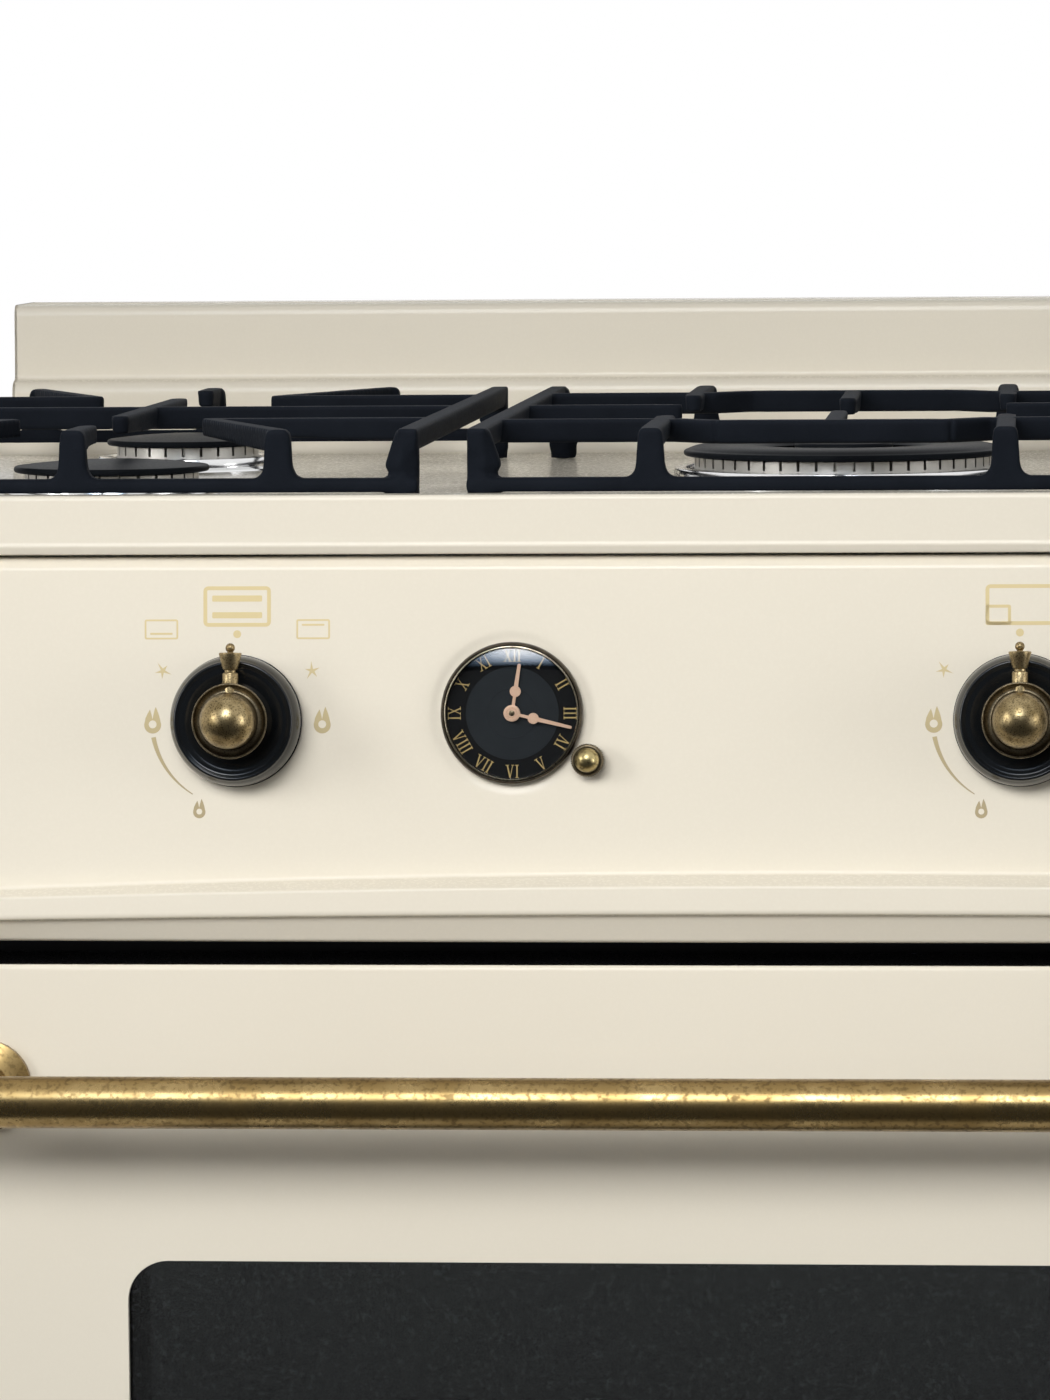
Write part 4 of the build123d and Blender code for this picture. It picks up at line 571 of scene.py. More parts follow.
def lathe(profile, steps=96):
    """A profile of (radius, height) pairs turned about Z."""
    radius, height = np.array(profile, float).T
    angle = np.linspace(0, 2 * np.pi, steps, endpoint=False)[:, None]
    points = np.stack([radius * np.cos(angle), radius * np.sin(angle),
                       np.broadcast_to(height, (steps, len(height)))], -1)
    return grid(points, wrap_u=True)


def facing(point):
    """The matrix of a frame on the face at a point, with Z out of the panel."""
    matrix = on_face(0.0, 0.0)
    matrix.translation = point
    return matrix


cheeks = [placed(flat([np.vstack([upper_section, lower_section[end]])], x), turn_to_x)
          for end, x in ((0, -half_width), (-1, half_width))]
panel = piece("panel_sheet", [along_x(lower_section, across), along_x(upper_section, across),
                              placed(band, face_middle),
                              placed(lathe(dish_profile), facing(clock_at)), *cheeks],
              cream_enamel, stands_for=["control_panel"], sharp=60)
thickened(panel, sheet_thickness)

# Panel markings. Printed and fired on the enamel in pale gold: a flame pair and a sweep from
# full to low beside each knob, a spark, and above it a plan that shows which burner it serves.
mark_low, mark_high = -0.00002, 0.00006
plan_half_x, plan_half_y, plan_rise = 0.01325, 0.0079, 0.0446
plan_stroke, plan_corner, cell_corner, cell_share = 0.0015, 0.0019, 0.0008, 0.8
dot_rise, dot_radius = 0.0338, 0.00155
spark_at, spark_radii = (-0.0293, 0.0195), (0.0034, 0.0009)
flame_at, flame_size = (-0.0333, 0.0003), 0.0104
low_flame_at, low_flame_size = (-0.0150, -0.0342), 0.0076
sweep_radius, sweep_start, sweep_end = 0.0336, 191.0, 238.5
sweep_wide, sweep_thin = 0.0018, 0.0004
small_plan_at, small_plan_half, small_stroke = (0.0298, 0.0357), (0.0066, 0.0039), 0.0007
small_bar_half, small_bar_off = (0.0045, 0.0004), 0.0017
bar_half_x, bar_half_y, bar_rises = 0.0098, 0.0012, (0.0477, 0.0412)
mark_gold, mark_gold_painted_shade = paint(224, 206, 156), paint(180, 164, 128)


def marks_finish():
    """Fired ceramic print, slightly worn, with a painted gradient of light: paler towards the top
    of the panel and darker below.
    """
    finish = Finish("panel_marks", {"Coat Weight": 0.3, "Coat Roughness": 0.08})
    # Painted light: the print runs from a shaded gold low on the panel to a lit gold near its top.
    rise = finish.step(finish.axis(2), panel_top - 0.1, panel_top - 0.02)
    finish.feed("Base Color", finish.mix(rise, mark_gold_painted_shade, mark_gold))
    finish.feed("Roughness", finish.noise(900.0, 1.0) * 0.1 + 0.3)
    return finish


def frame_mark(half_x, half_y, corner, stroke, centre):
    """The outline of a rounded rectangle, as an edge and the hole inside it."""
    inner = max(corner - stroke, 0.0002)
    return plate([rounded_box(half_x, half_y, corner, centre, 5),
                  rounded_box(half_x - stroke, half_y - stroke, inner, centre, 5)],
                 mark_low, mark_high)


def flame_mark(centre, size):
    """A drop with two pointed tongues and a round hole: the drop is a circle whose sides run
    up to the tips, drawn in units of the whole height."""
    low = np.radians(np.linspace(158, 382, 26))
    drop = np.column_stack([0.32 * np.cos(low), 0.32 * np.sin(low) - 0.185])
    tongues = [(0.268, 0.08), (0.215, 0.26), (0.12, 0.5), (0.08, 0.4), (0.03, 0.2),
               (-0.005, 0.03), (-0.04, 0.2), (-0.1, 0.4), (-0.195, 0.24), (-0.275, 0.06)]
    outline = np.vstack([drop, tongues]) * size + centre
    hole = circle(0.15 * size, 20, (centre[0], centre[1] - 0.16 * size))
    return plate([outline, hole], mark_low, mark_high)


def spark_mark(centre, side):
    """A five-pointed spark whose points differ a little in length."""
    angle = np.radians(np.arange(10) * 36 + 94 * side)
    radius = np.where(np.arange(10) % 2, spark_radii[1], spark_radii[0])
    radius = radius * (1 + 0.16 * np.cos(angle * 3 + 0.6))
    outline = np.column_stack([np.cos(angle), np.sin(angle)]) * radius[:, None]
    return plate([outline + centre], mark_low, mark_high)


def sweep_mark():
    """An arc about the knob's axis whose width falls evenly from one end to the other."""
    angle = np.radians(np.linspace(sweep_start, sweep_end, 30))[:, None]
    half = np.linspace(sweep_wide, sweep_thin, 30)[:, None] / 2
    ray = np.hstack([np.cos(angle), np.sin(angle)])
    return plate([np.vstack([ray * (sweep_radius + half), (ray * (sweep_radius - half))[::-1]])],
                 mark_low, mark_high)


def box_mark(half_x, half_y, centre):
    """A filled bar with slightly rounded corners."""
    return plate([rounded_box(half_x, half_y, 0.0004, centre, 3)], mark_low, mark_high)


marks = []
plan_cell = {"left_front": (-1, -1), "left_rear": (-1, 1), "centre": (0, 0),
             "right_rear": (1, 1), "right_front": (1, -1)}
for name in knob_names:
    group = [frame_mark(plan_half_x, plan_half_y, plan_corner, plan_stroke, (0, plan_rise)),
             plate([circle(dot_radius, 24, (0, dot_rise))], mark_low, mark_high),
             flame_mark(flame_at, flame_size), flame_mark(low_flame_at, low_flame_size),
             spark_mark(spark_at, -1), sweep_mark()]
    if name == "oven":
        group += [flame_mark((-flame_at[0], flame_at[1]), flame_size),
                  spark_mark((-spark_at[0], spark_at[1]), 1)]
        group += [box_mark(bar_half_x, bar_half_y, (0, rise)) for rise in bar_rises]
        for side in (-1, 1):
            centre = (side * small_plan_at[0], small_plan_at[1])
            group += [frame_mark(*small_plan_half, cell_corner, small_stroke, centre),
                      box_mark(*small_bar_half, (centre[0], centre[1] + side * small_bar_off))]
    else:
        column, row = plan_cell[name.removeprefix("burner_")]
        cell_x, cell_y = plan_half_x / 3 + plan_stroke / 3, plan_half_y / (2 if row else 1)
        centre = (column * (plan_half_x - cell_x), plan_rise + row * (plan_half_y - cell_y))
        group.append(frame_mark(cell_x, cell_y, cell_corner, plan_stroke * cell_share, centre))
    marks += [placed(part, facing(knob_at[name])) for part in group]
piece("panel_marks", marks, marks_finish(), weld=False)

# Knobs. A turned black moulding with a bead round its disc pushes in, and carries an antiqued
# brass grip: a flange with a hollow, a ball dome, and a turned finial as the pointer.
flank_low, flank_high, flank_radius, flank_taper = 0.0062, 0.0138, 0.0255, 0.0019
flank_height = np.linspace(flank_low, flank_high, 9)
flank_share = (flank_height - flank_low) / (flank_high - flank_low)
base_section = np.vstack([
    [(0.00405, -0.012), (0.0065, -0.012), (0.0065, 0.0034), (0.0242, 0.0034), (0.0251, 0.0039),
     (0.02545, 0.0049)],
    np.column_stack([flank_radius - flank_taper * flank_share ** 2, flank_height]),
    [(0.0232, 0.0148), (0.0226, 0.0152), (0.0218, 0.0150), (0.0208, 0.0147), (0.0195, 0.0146),
     (0.0182, 0.0143), (0.0168, 0.0137), (0.0155, 0.0131), (0.0140, 0.0128), (0.00405, 0.0128)]])
grip_section = [(0.0, -0.046), (0.004, -0.046), (0.004, 0.0150), (0.0100, 0.0152),
                (0.0118, 0.0170), (0.0132, 0.0205), (0.0141, 0.0238), (0.0146, 0.0250),
                (0.0147, 0.0257), (0.0144, 0.0262), (0.0139, 0.0261), (0.0136, 0.0255),
                (0.0130, 0.0249), (0.0122, 0.0246), (0.0114, 0.0247), (0.0109, 0.0252),
                (0.0108, 0.0262), (0.0108, 0.0300)]
dome_radius, dome_height, dome_rings, dome_lap = 0.0108, 0.032, 24, 0.003
pointer_height = 0.022
pointer_section = [(0.0, 0.009), (0.0031, 0.009), (0.0031, 0.0181), (0.0029, 0.0185),
                   (0.0022, 0.0188), (0.0022, 0.0196), (0.0028, 0.0199), (0.0033, 0.0214),
                   (0.0040, 0.0244), (0.0044, 0.0258), (0.0044, 0.0263), (0.0038, 0.0265),
                   (0.0014, 0.0264), (0.0011, 0.0268), (0.0011, 0.0270)]
ball_height, ball_radius, ball_start = 0.0283, 0.00185, -55
brass_bright, brass_mid = paint(166, 148, 110), paint(116, 100, 68)
brass_dark, bronze_dark = paint(56, 44, 28), paint(42, 37, 30)


def smooth(section, steps=5):
    """A Catmull-Rom curve through the points of a section."""
    points = np.array(section, float)
    points = np.vstack([2 * points[0] - points[1], points, 2 * points[-1] - points[-2]])
    t = np.linspace(0, 1, steps, endpoint=False)[None, :, None]
    a, b, c, d = (points[i:len(points) - 3 + i, None] for i in range(4))
    curve = 0.5 * (2 * b + (c - a) * t + (2 * a - 5 * b + 4 * c - d) * t ** 2
                   + (3 * b - a - 3 * c + d) * t ** 3)
    return np.vstack([curve.reshape(-1, 2), points[-2]])


def arc(radius, height, start, end, steps):
    """Points of a circle about a point of the axis, by angles above the radius."""
    angle = np.radians(np.linspace(start, end, steps))
    return np.column_stack([radius * np.cos(angle), height + radius * np.sin(angle)])


def gloss_black():
    """Glossy black moulding, with faint hairlines and dust."""
    finish = Finish("gloss_black", {"IOR": 1.45, "Specular IOR Level": 0.45})
    cloud = finish.noise(60.0, 3.0)
    finish.feed("Base Color", finish.mix(cloud, paint(13, 15, 17), paint(22, 25, 28)))
    finish.feed("Roughness", finish.noise(350.0, 3.0) * 0.10 + 0.09)
    finish.bump(finish.noise(500.0, 1.0), 0.05, 0.0001)
    return finish


def aged_brass(name, bright, mid, dark, mottle, gloss):
    """Antiqued brass: bright metal worn through a brown patina in small speckles."""
    finish = Finish(name, {"Metallic": 1.0})
    patch = finish.noise(mottle / 4, 4.0)
    speck = finish.step(finish.noise(mottle * 2.2, 3.0), 0.48, 0.68)
    worn = finish.step(patch, 0.30, 0.70)
    tone = finish.mix(worn, mid, bright)
    finish.feed("Base Color", finish.mix(speck * (0.95 - worn * 0.35), tone, dark))
    finish.feed("Roughness", speck * 0.1 + (1.0 - worn) * 0.1 + gloss)
    finish.bump(speck, 0.06, 0.00004)
    return finish


black = gloss_black()
brass = aged_brass("antique_brass", brass_bright, brass_mid, brass_dark, 700.0, 0.27)
pointer_brass = aged_brass("pointer_brass", paint(178, 160, 122), paint(142, 124, 90), brass_dark,
                           900.0, 0.3)
bronze = aged_brass("dark_bronze", paint(124, 112, 90), paint(92, 82, 64), bronze_dark, 900.0, 0.3)
flange = smooth(grip_section)
dome = np.vstack([flange[-1:] - (0, dome_lap), arc(dome_radius, dome_height, 0, 90, dome_rings)])
pointer = lathe(np.vstack([pointer_section, arc(ball_radius, ball_height, ball_start, 90, 14)]), 48)
pointer_turn = Matrix(((1, 0, 0, 0), (0, 0, 1, 0), (0, -1, 0, pointer_height), (0, 0, 0, 1)))
for name in knob_names:
    frame_here, body = facing(knob_at[name]), f"knob_turn_{name}"
    piece(f"knob_base_{name}_moulding", [placed(lathe(smooth(base_section), 128), frame_here)],
          black, f"knob_push_{name}", [f"knob_base_{name}"], sharp=60)
    piece(f"knob_grip_{name}_flange", [placed(lathe(flange, 96), frame_here)], bronze, body,
          [f"knob_grip_{name}"], sharp=60)
    piece(f"knob_grip_{name}_dome", [placed(lathe(dome, 96), frame_here)], brass, body)
    piece(f"knob_grip_{name}_pointer",
          [placed(pointer, np.array(frame_here) @ np.array(pointer_turn))], pointer_brass, body,
          sharp=30)

# Clock. A dark bronze bezel with a thin bead, coloured pale as a painted highlight, is crimped
# round a domed glass; behind it lie a black printed dial with a recessed middle, two flat hands
# and, behind the panel, the movement.
clock_frame = facing(clock_at)
bezel_section = [(0.0256, -0.0012), (0.0260, -0.0012), (0.0260, 0.0), (0.0277, 0.0),
                 (0.0277, 0.0016), (0.0275, 0.0028), (0.0270, 0.0037), (0.0266, 0.0038),
                 (0.0264, 0.0034), (0.0260, 0.0033), (0.0256, 0.0033)]
bead_section = [(0.0256, 0.0032), (0.0256, 0.0038), (0.0258, 0.0041), (0.0261, 0.0040),
                (0.0263, 0.0036), (0.0263, 0.0032), (0.0256, 0.0032)]
dial_radius, middle_radius, dial_front, dial_rear = 0.0258, 0.0181, -0.0012, -0.0022
glass_radius, glass_seat, glass_rise, glass_wall = 0.0256, 0.0022, 0.0026, 0.001
numeral_radius, numeral_height, numeral_stroke = 0.0226, 0.0050, 0.00052
numeral_step, serif_reach, serif_height = 0.00175, 0.00042, 0.00024
print_sink, print_rise, stroke_lift = 0.00002, 0.00003, 0.000002
numerals = ["XII", "I", "II", "III", "IV", "V", "VI", "VII", "VIII", "IX", "X", "XI"]
dial_ink, middle_ink = paint(9, 11, 13), paint(36, 41, 44)
numeral_gold, hand_rose = paint(200, 172, 116), paint(214, 182, 160)


def plain(name, colour, shade, roughness, metallic, scale, relief):
    """A painted or printed finish that drifts a little in tone."""
    finish = Finish(name, {"Metallic": metallic, "Specular IOR Level": 0.08})
    finish.feed("Base Color", finish.mix(finish.noise(scale, 3.0), shade, colour))
    finish.feed("Roughness", finish.noise(scale * 2, 2.0) * 0.1 + roughness)
    finish.bump(finish.noise(scale * 3, 2.0), relief, 0.0001)
    return finish


def stroke(start, end, width):
    """A straight stroke of a numeral, cut off level at its top and its foot."""
    half = width / 2
    return np.array([(start[0] - half, start[1]), (start[0] + half, start[1]),
                     (end[0] + half, end[1]), (end[0] - half, end[1])])


def numeral(word, turn, upright):
    """The strokes of a Roman numeral, set upright in a line, bent to its place on the dial."""
    widths = {"I": numeral_step, "V": numeral_step * 2.1, "X": numeral_step * 2.1}
    total = sum(widths[letter] for letter in word)
    x, low, high, strokes = -total / 2, -numeral_height / 2, numeral_height / 2, []
    for letter in word:
        middle, half = x + widths[letter] / 2, numeral_step * 0.62
        ends = {"I": [(0, 0, 1.0)], "V": [(-half, 0, 1.0), (half, 0, 0.55)],
                "X": [(-half, half, 1.0), (half, -half, 0.55)]}[letter]
        for top, foot, weight in ends:
            width = numeral_stroke * weight
            serif = serif_reach * 2 + width
            strokes.append(stroke((middle + top, high), (middle + foot, low), width))
            strokes.append(stroke((middle + top, high), (middle + top, high - serif_height), serif))
            if letter != "V":
                strokes.append(stroke((middle + foot, low), (middle + foot, low + serif_height),
                                      serif))
        x += widths[letter]
    angle = -math.radians(turn)
    flip = 1 if upright else -1
    spin = Matrix.Rotation(angle, 4, "Z") @ Matrix.Translation((0, numeral_radius, 0))
    spin = np.array(clock_frame) @ np.array(spin @ Matrix.Diagonal((flip, flip, 1, 1)))
    lift = np.arange(len(strokes)) * stroke_lift
    return [placed(plate([outline], dial_front - print_sink, dial_front + print_rise + rise), spin)
            for outline, rise in zip(strokes, lift)]


dial_section = [(0.0026, dial_rear), (dial_radius, dial_rear), (dial_radius, dial_front),
                (middle_radius + 0.0001, dial_front), (middle_radius, dial_front - 0.00012)]
outer_dial = lathe(dial_section, 96)
middle_section = smooth([(middle_radius, dial_front - 0.00012), (0.014, dial_front - 0.00018),
                         (0.0101, dial_front - 0.00014), (0.0097, dial_front - 0.00002),
                         (0.0093, dial_front - 0.00012), (0.006, dial_front - 0.0001),
                         (0.0026, dial_front - 0.0001)], 4)
dial_black = plain("dial_black", dial_ink, paint(6, 8, 9), 0.6, 0.0, 120.0, 0.004)
middle_grey = plain("dial_middle", middle_ink, paint(27, 31, 35), 0.6, 0.0, 160.0, 0.006)
gold_print = plain("numeral_gold", numeral_gold, paint(176, 156, 100), 0.35, 0.35, 700.0, 0.02)
rose_paint = plain("hand_rose", hand_rose, paint(202, 168, 140), 0.4, 0.15, 300.0, 0.03)
piece("dial_ring", [placed(outer_dial, clock_frame)], dial_black,
      stands_for=["clock_dial"])
piece("dial_middle", [placed(lathe(middle_section, 96), clock_frame)], middle_grey)
words = [part for hour, word in enumerate(numerals)
         for part in numeral(word, hour * 30, not 4 <= hour <= 8)]
piece("dial_numerals", words, gold_print, weld=False)
bezel_bronze = aged_brass("bezel_bronze", paint(84, 76, 64), paint(56, 51, 44), bronze_dark, 900.0,
                          0.25)
# The bead's pale colour is a painted highlight along the bezel's inner edge.
bezel_bead_painted_highlight = aged_brass("bezel_bead_painted_highlight", paint(186, 176, 154), paint(150, 140, 120), brass_dark, 900.0,
                        0.25)
piece("clock_bezel_rim", [placed(lathe(smooth(bezel_section, 4), 128), clock_frame)], bezel_bronze,
      stands_for=["clock_bezel"], sharp=60)
piece("clock_bezel_bead", [placed(lathe(bead_section, 128), clock_frame)], bezel_bead_painted_highlight)

glass_sphere = (glass_radius ** 2 + glass_rise ** 2) / (2 * glass_rise)
glass_start = math.degrees(math.asin(glass_radius / glass_sphere))
glass_centre = glass_seat + glass_rise - glass_sphere
glass_lines = [arc(glass_sphere, glass_centre + level, 90 - glass_start, 90, 28)
               for level in (0.0, glass_wall)]
clear_glass = Finish("clear_glass", {"Base Color": white, "Metallic": 1.0, "Alpha": 0.04})
clear_glass.feed("Roughness", clear_glass.noise(90.0, 2.0) * 0.01)
piece("clock_glass_dome", [placed(lathe(np.vstack([glass_lines[0][::-1], glass_lines[1]]), 128),
                                  clock_frame)],
      clear_glass, stands_for=["clock_glass"], sharp=50)


def hand_outline(length, tip_half):
    """A hand that points up: a thin neck, a round disc and an arm that widens a little to a
    rounded end."""
    disc_at, disc, neck, arm = 0.0086, 0.00215, 0.0006, 0.0008
    right = np.radians(np.linspace(-74, 68, 16))
    bulge = np.column_stack([disc * np.cos(right), disc_at + disc * np.sin(right)])
    tip = np.radians(np.linspace(0, 90, 6))
    end = np.column_stack([tip_half * np.cos(tip), length - tip_half + tip_half * np.sin(tip)])
    side = np.vstack([(neck, 0.0026), (neck, disc_at - disc), bulge, (arm, disc_at + disc + 0.0004),
                      end])
    return np.vstack([side, (side * (-1, 1))[::-1]])


hub_length, hub_bore, leaf_thick, hub_thick = 0.010, 0.00125, 0.0005, 0.0006
for name, angle, level, length, tip, tube in (
        ("hour_hand", 8.5, -0.0007, 0.0195, 0.00062, 0.0022),
        ("minute_hand", 103.5, 0.0006, 0.0240, 0.00058, 0.0012)):
    spin = np.array(clock_frame) @ np.array(Matrix.Rotation(-math.radians(angle), 4, "Z"))
    foot, top = level - hub_length, level + hub_thick
    hub = [(tube, foot), (tube, level), (0.0032, level), (0.0032, level + leaf_thick),
           (0.0030, top), (0.0021, top)]
    if name == "hour_hand":
        hub = [(hub_bore, foot), *hub, (hub_bore, top), (hub_bore, foot)]
    else:
        hub = [(0.0, foot), *hub, (0.0019, level + 0.0004), (0.0017, top), (0.0, top)]
    piece(f"{name}_leaf", [placed(plate([hand_outline(length, tip)], level, level + leaf_thick),
                                  spin),
                           placed(lathe(hub, 48), spin)],
          rose_paint, name, [name])
pin_section = [(0.0, 0.0010), (0.0011, 0.0010), (0.0011, 0.0014), (0.0007, 0.0016), (0.0, 0.0017)]
piece("hand_pin", [placed(lathe(pin_section, 32), clock_frame)], bronze, "minute_hand")

# Setting knob. A small brass button with a knurled collar, on a shaft into the movement.
knurl_teeth, knurl_depth, knurl_steps = 44, 0.0004, 6
button_radius, button_foot, button_rise, button_top = 0.0049, 0.0068, 0.0046, 0.012
set_section = np.array([(0.0, -0.016), (0.002, -0.016), (0.002, 0.001), (0.0058, 0.001),
                        (0.0064, 0.0015), (0.0065, 0.0022), (0.0065, 0.0060), (0.0064, 0.0066),
                        (0.0058, 0.0071), (0.0052, 0.0072)])


def knurled(section, teeth, depth):
    """A turned section whose widest stretch is cut into teeth: the radius falls by the depth,
    times a cosine of the angle, wherever the section is at its collar."""
    line = smooth(section, 4)
    angle = np.linspace(0, 2 * np.pi, teeth * knurl_steps, endpoint=False)[:, None]
    collar = np.clip((line[:, 0] - 0.0058) / 0.0005, 0, 1)
    radius = line[:, 0] - depth * collar * (0.5 + 0.5 * np.cos(teeth * angle))
    points = np.stack([radius * np.cos(angle), radius * np.sin(angle),
                       np.broadcast_to(line[:, 1], radius.shape)], -1)
    return grid(points, wrap_u=True)


button_sphere = (button_radius ** 2 + button_rise ** 2) / (2 * button_rise)
button_start = 90 - math.degrees(math.asin(button_radius / button_sphere))
button = np.vstack([[(0.0, button_foot), (button_radius, button_foot)],
                    arc(button_sphere, button_top - button_sphere, button_start, 90, 16)])
satin_brass = aged_brass("satin_brass", paint(188, 172, 124), paint(150, 134, 92), brass_dark,
                         260.0, 0.26)
piece("set_knob_collar", [placed(knurled(set_section, knurl_teeth, knurl_depth), facing(set_at))],
      bronze, "set_knob", ["set_knob"], sharp=70)
piece("set_knob_button", [placed(lathe(button, 64), facing(set_at))], satin_brass, "set_knob")

# Burners. Turned cups with a bright plated flange hang in the deck; cast aluminium crowns with
# sawn flame ports stand in them, and enamelled pressed-steel caps lie on the crowns.
deck_top = rim_top - deck_drop
cup_rim, cup_rim_height, cup_wall, cup_depth, cup_share = 0.008, 0.002, 0.006, 0.0335, 0.6
cup_floor, spigot_lap = 0.003, 0.0002
skirt_out, skirt_in, skirt_rise = 0.004, 0.0035, 0.0066
crown_inset, crown_rise, port_depth, port_width, port_high, port_pitch = (0.0045, 0.0112, 0.006,
                                                                          0.0012, 0.004, 0.0078)
hole_share, centre_bore, inner_radius, inner_bore, inner_rise = 0.45, 0.026, 0.016, 0.009, 0.0138
cap_gap, cap_edge, cap_rise, cap_round = 0.0003, 0.0026, 0.0050, 0.0012
spigot_gap, spigot_wall, spigot_length, ring_cap_hole = 0.002, 0.003, 0.003, 0.034
inner_cap, inner_cap_base, ring_rise, port_flare, crown_edge = 0.021, 0.9061, 0.0022, 1.06, 0.0002


def metal(name, bright, dull, roughness, scale, relief):
    """Bare or plated metal: its tone and gloss drift in patches, over a fine turned grain."""
    finish = Finish(name, {"Metallic": 1.0})
    patch = finish.noise(scale, 4.0)
    finish.feed("Base Color", finish.mix(patch, dull, bright))
    finish.feed("Roughness", patch * 0.14 + finish.noise(scale * 9, 2.0) * 0.08 + roughness)
    finish.bump(finish.noise(scale * 14, 2.0), relief, 0.0001)
    return finish


def crown(radius, bore, low, high):
    """A ring whose rim is sawn through by radial ports: round the rim the radius falls by the
    port's depth wherever the angle is inside a port, above the port's foot."""
    ports = int(2 * math.pi * radius / port_pitch)
    half = port_width / 2 / radius
    steps = np.array([-port_flare, -1.0, 1.0, port_flare]) * half
    steps = np.concatenate([steps, np.array([0.25, 0.5, 0.75]) * 2 * np.pi / ports])
    angle = (np.arange(ports)[:, None] * 2 * np.pi / ports + steps).ravel()[:, None]
    cut = np.tile([0, 1, 1, 0, 0, 0, 0], ports)[:, None] * port_depth
    rim = np.full_like(cut, radius)
    rings = [(rim, low), (rim, high - port_high), (rim - cut, high - port_high),
             (rim - cut, high - crown_edge), (rim - cut - crown_edge, high), (rim * 0 + bore, high),
             (rim * 0 + bore, low)]
    points = np.stack([np.hstack([r * np.cos(angle), r * np.sin(angle), r * 0 + z])
                       for r, z in rings], 1)
    return grid(points, wrap_u=True, wrap_v=True)


def cap(radius, base, hole=0.0):
    """A pressed lid: a thin upright edge, rounded into a shallow dome (a circle's arc)."""
    rise = cap_rise - cap_edge
    span = radius - cap_round - hole
    across = np.linspace(1, 0, 18) ** 0.8
    dome = np.column_stack([hole + span * across, base + cap_edge + rise * (1 - across ** 2)])
    if hole:
        across = np.linspace(1, -1, 24)
        dome = np.column_stack([hole + span * (across + 1) / 2,
                                base + cap_edge + ring_rise * (1 - across ** 4)])
    turn = np.radians(np.linspace(-90, 80, 9))
    edge_line = np.column_stack([radius - cap_round + cap_round * np.cos(turn),
                                 base + cap_edge / 2 * (1 + np.sin(turn))])
    return lathe(np.vstack([[(hole, base)], edge_line, dome]), 128)


cup_chrome = metal("cup_chrome", paint(236, 236, 235), paint(222, 223, 224), 0.05, 40.0, 0.02)
cast_aluminium = metal("cast_aluminium", paint(214, 211, 204), paint(176, 173, 167), 0.3, 120.0,
                       0.15)
cap_black = Finish("cap_enamel", {"Specular IOR Level": 0.015})
cap_black.feed("Base Color", cap_black.mix(cap_black.noise(60.0, 3.0), paint(15, 17, 20),
                                           paint(25, 28, 32)))
cap_black.feed("Roughness", cap_black.noise(900.0, 2.0) * 0.14 + 0.3)
cap_black.bump(cap_black.noise(1300.0, 1.0), 0.12, 0.0001)
cups, crowns = [], []
for name, at in burner_at.items():
    radius = cap_radius[name]
    centre = Matrix.Translation((at.x, at.y, 0))
    inner = radius - cup_wall
    low = deck_top - cup_depth
    section = [(0.0, low), (radius * cup_share, low), (radius - cap_gap, deck_top - 0.0015),
               (radius - cap_gap, deck_top), (radius + cup_rim, deck_top),
               (radius + cup_rim, deck_top + 0.0009),
               (radius + cup_rim - 0.0006, deck_top + 0.0016),
               (radius + skirt_out + 0.001, deck_top + cup_rim_height - 0.0001),
               (radius + skirt_out + 0.0002, deck_top + cup_rim_height + 0.0006),
               (radius + skirt_out, deck_top + skirt_rise - 0.0008),
               (radius + skirt_out - 0.0004, deck_top + skirt_rise - 0.0002),
               (radius + skirt_out - 0.0012, deck_top + skirt_rise),
               (radius - skirt_in + 0.0012, deck_top + skirt_rise),
               (radius - skirt_in + 0.0003, deck_top + skirt_rise - 0.0005),
               (radius - skirt_in, deck_top + cup_rim_height),
               (inner, deck_top + cup_rim_height), (inner * cup_share - cup_floor, low + cup_floor),
               (0.0, low + cup_floor)]
    cups.append(placed(lathe(section, 112), centre))
    rim = radius - crown_inset
    bore = centre_bore if name == "centre" else rim * hole_share
    seat, top = deck_top + cup_rim_height, deck_top + crown_rise
    crowns.append(placed(crown(rim, bore, seat, top), centre))
    hole = ring_cap_hole if name == "centre" else 0.0
    lid = [placed(cap(radius, top + cap_gap, hole), centre)]
    if not hole:
        spigot, spigot_top = bore - spigot_gap, top + cap_gap + spigot_lap
        wall = [(spigot, spigot_top), (spigot, top - spigot_length),
                (spigot - spigot_wall, top - spigot_length), (spigot - spigot_wall, spigot_top)]
        lid.append(placed(lathe(wall, 64), centre))
    piece(f"cap_{name}_lid", lid, cap_black, f"cap_{name}", [f"burner_cap_{name}"])
middle = Matrix.Translation((burner_at["centre"].x, burner_at["centre"].y, 0))
crowns.append(placed(crown(inner_radius, inner_bore, deck_top - cup_depth + cup_floor,
                           deck_top + inner_rise), middle))
piece("cap_centre_inner_lid", [placed(cap(inner_cap, inner_cap_base), middle)], cap_black,
      "cap_centre_inner", ["burner_cap_centre_inner"])
piece("burner_cup_rims", cups, cup_chrome, stands_for=["burner_cups"])
piece("burner_port_rings", crowns, cast_aluminium,
      stands_for=["burner_crowns"])

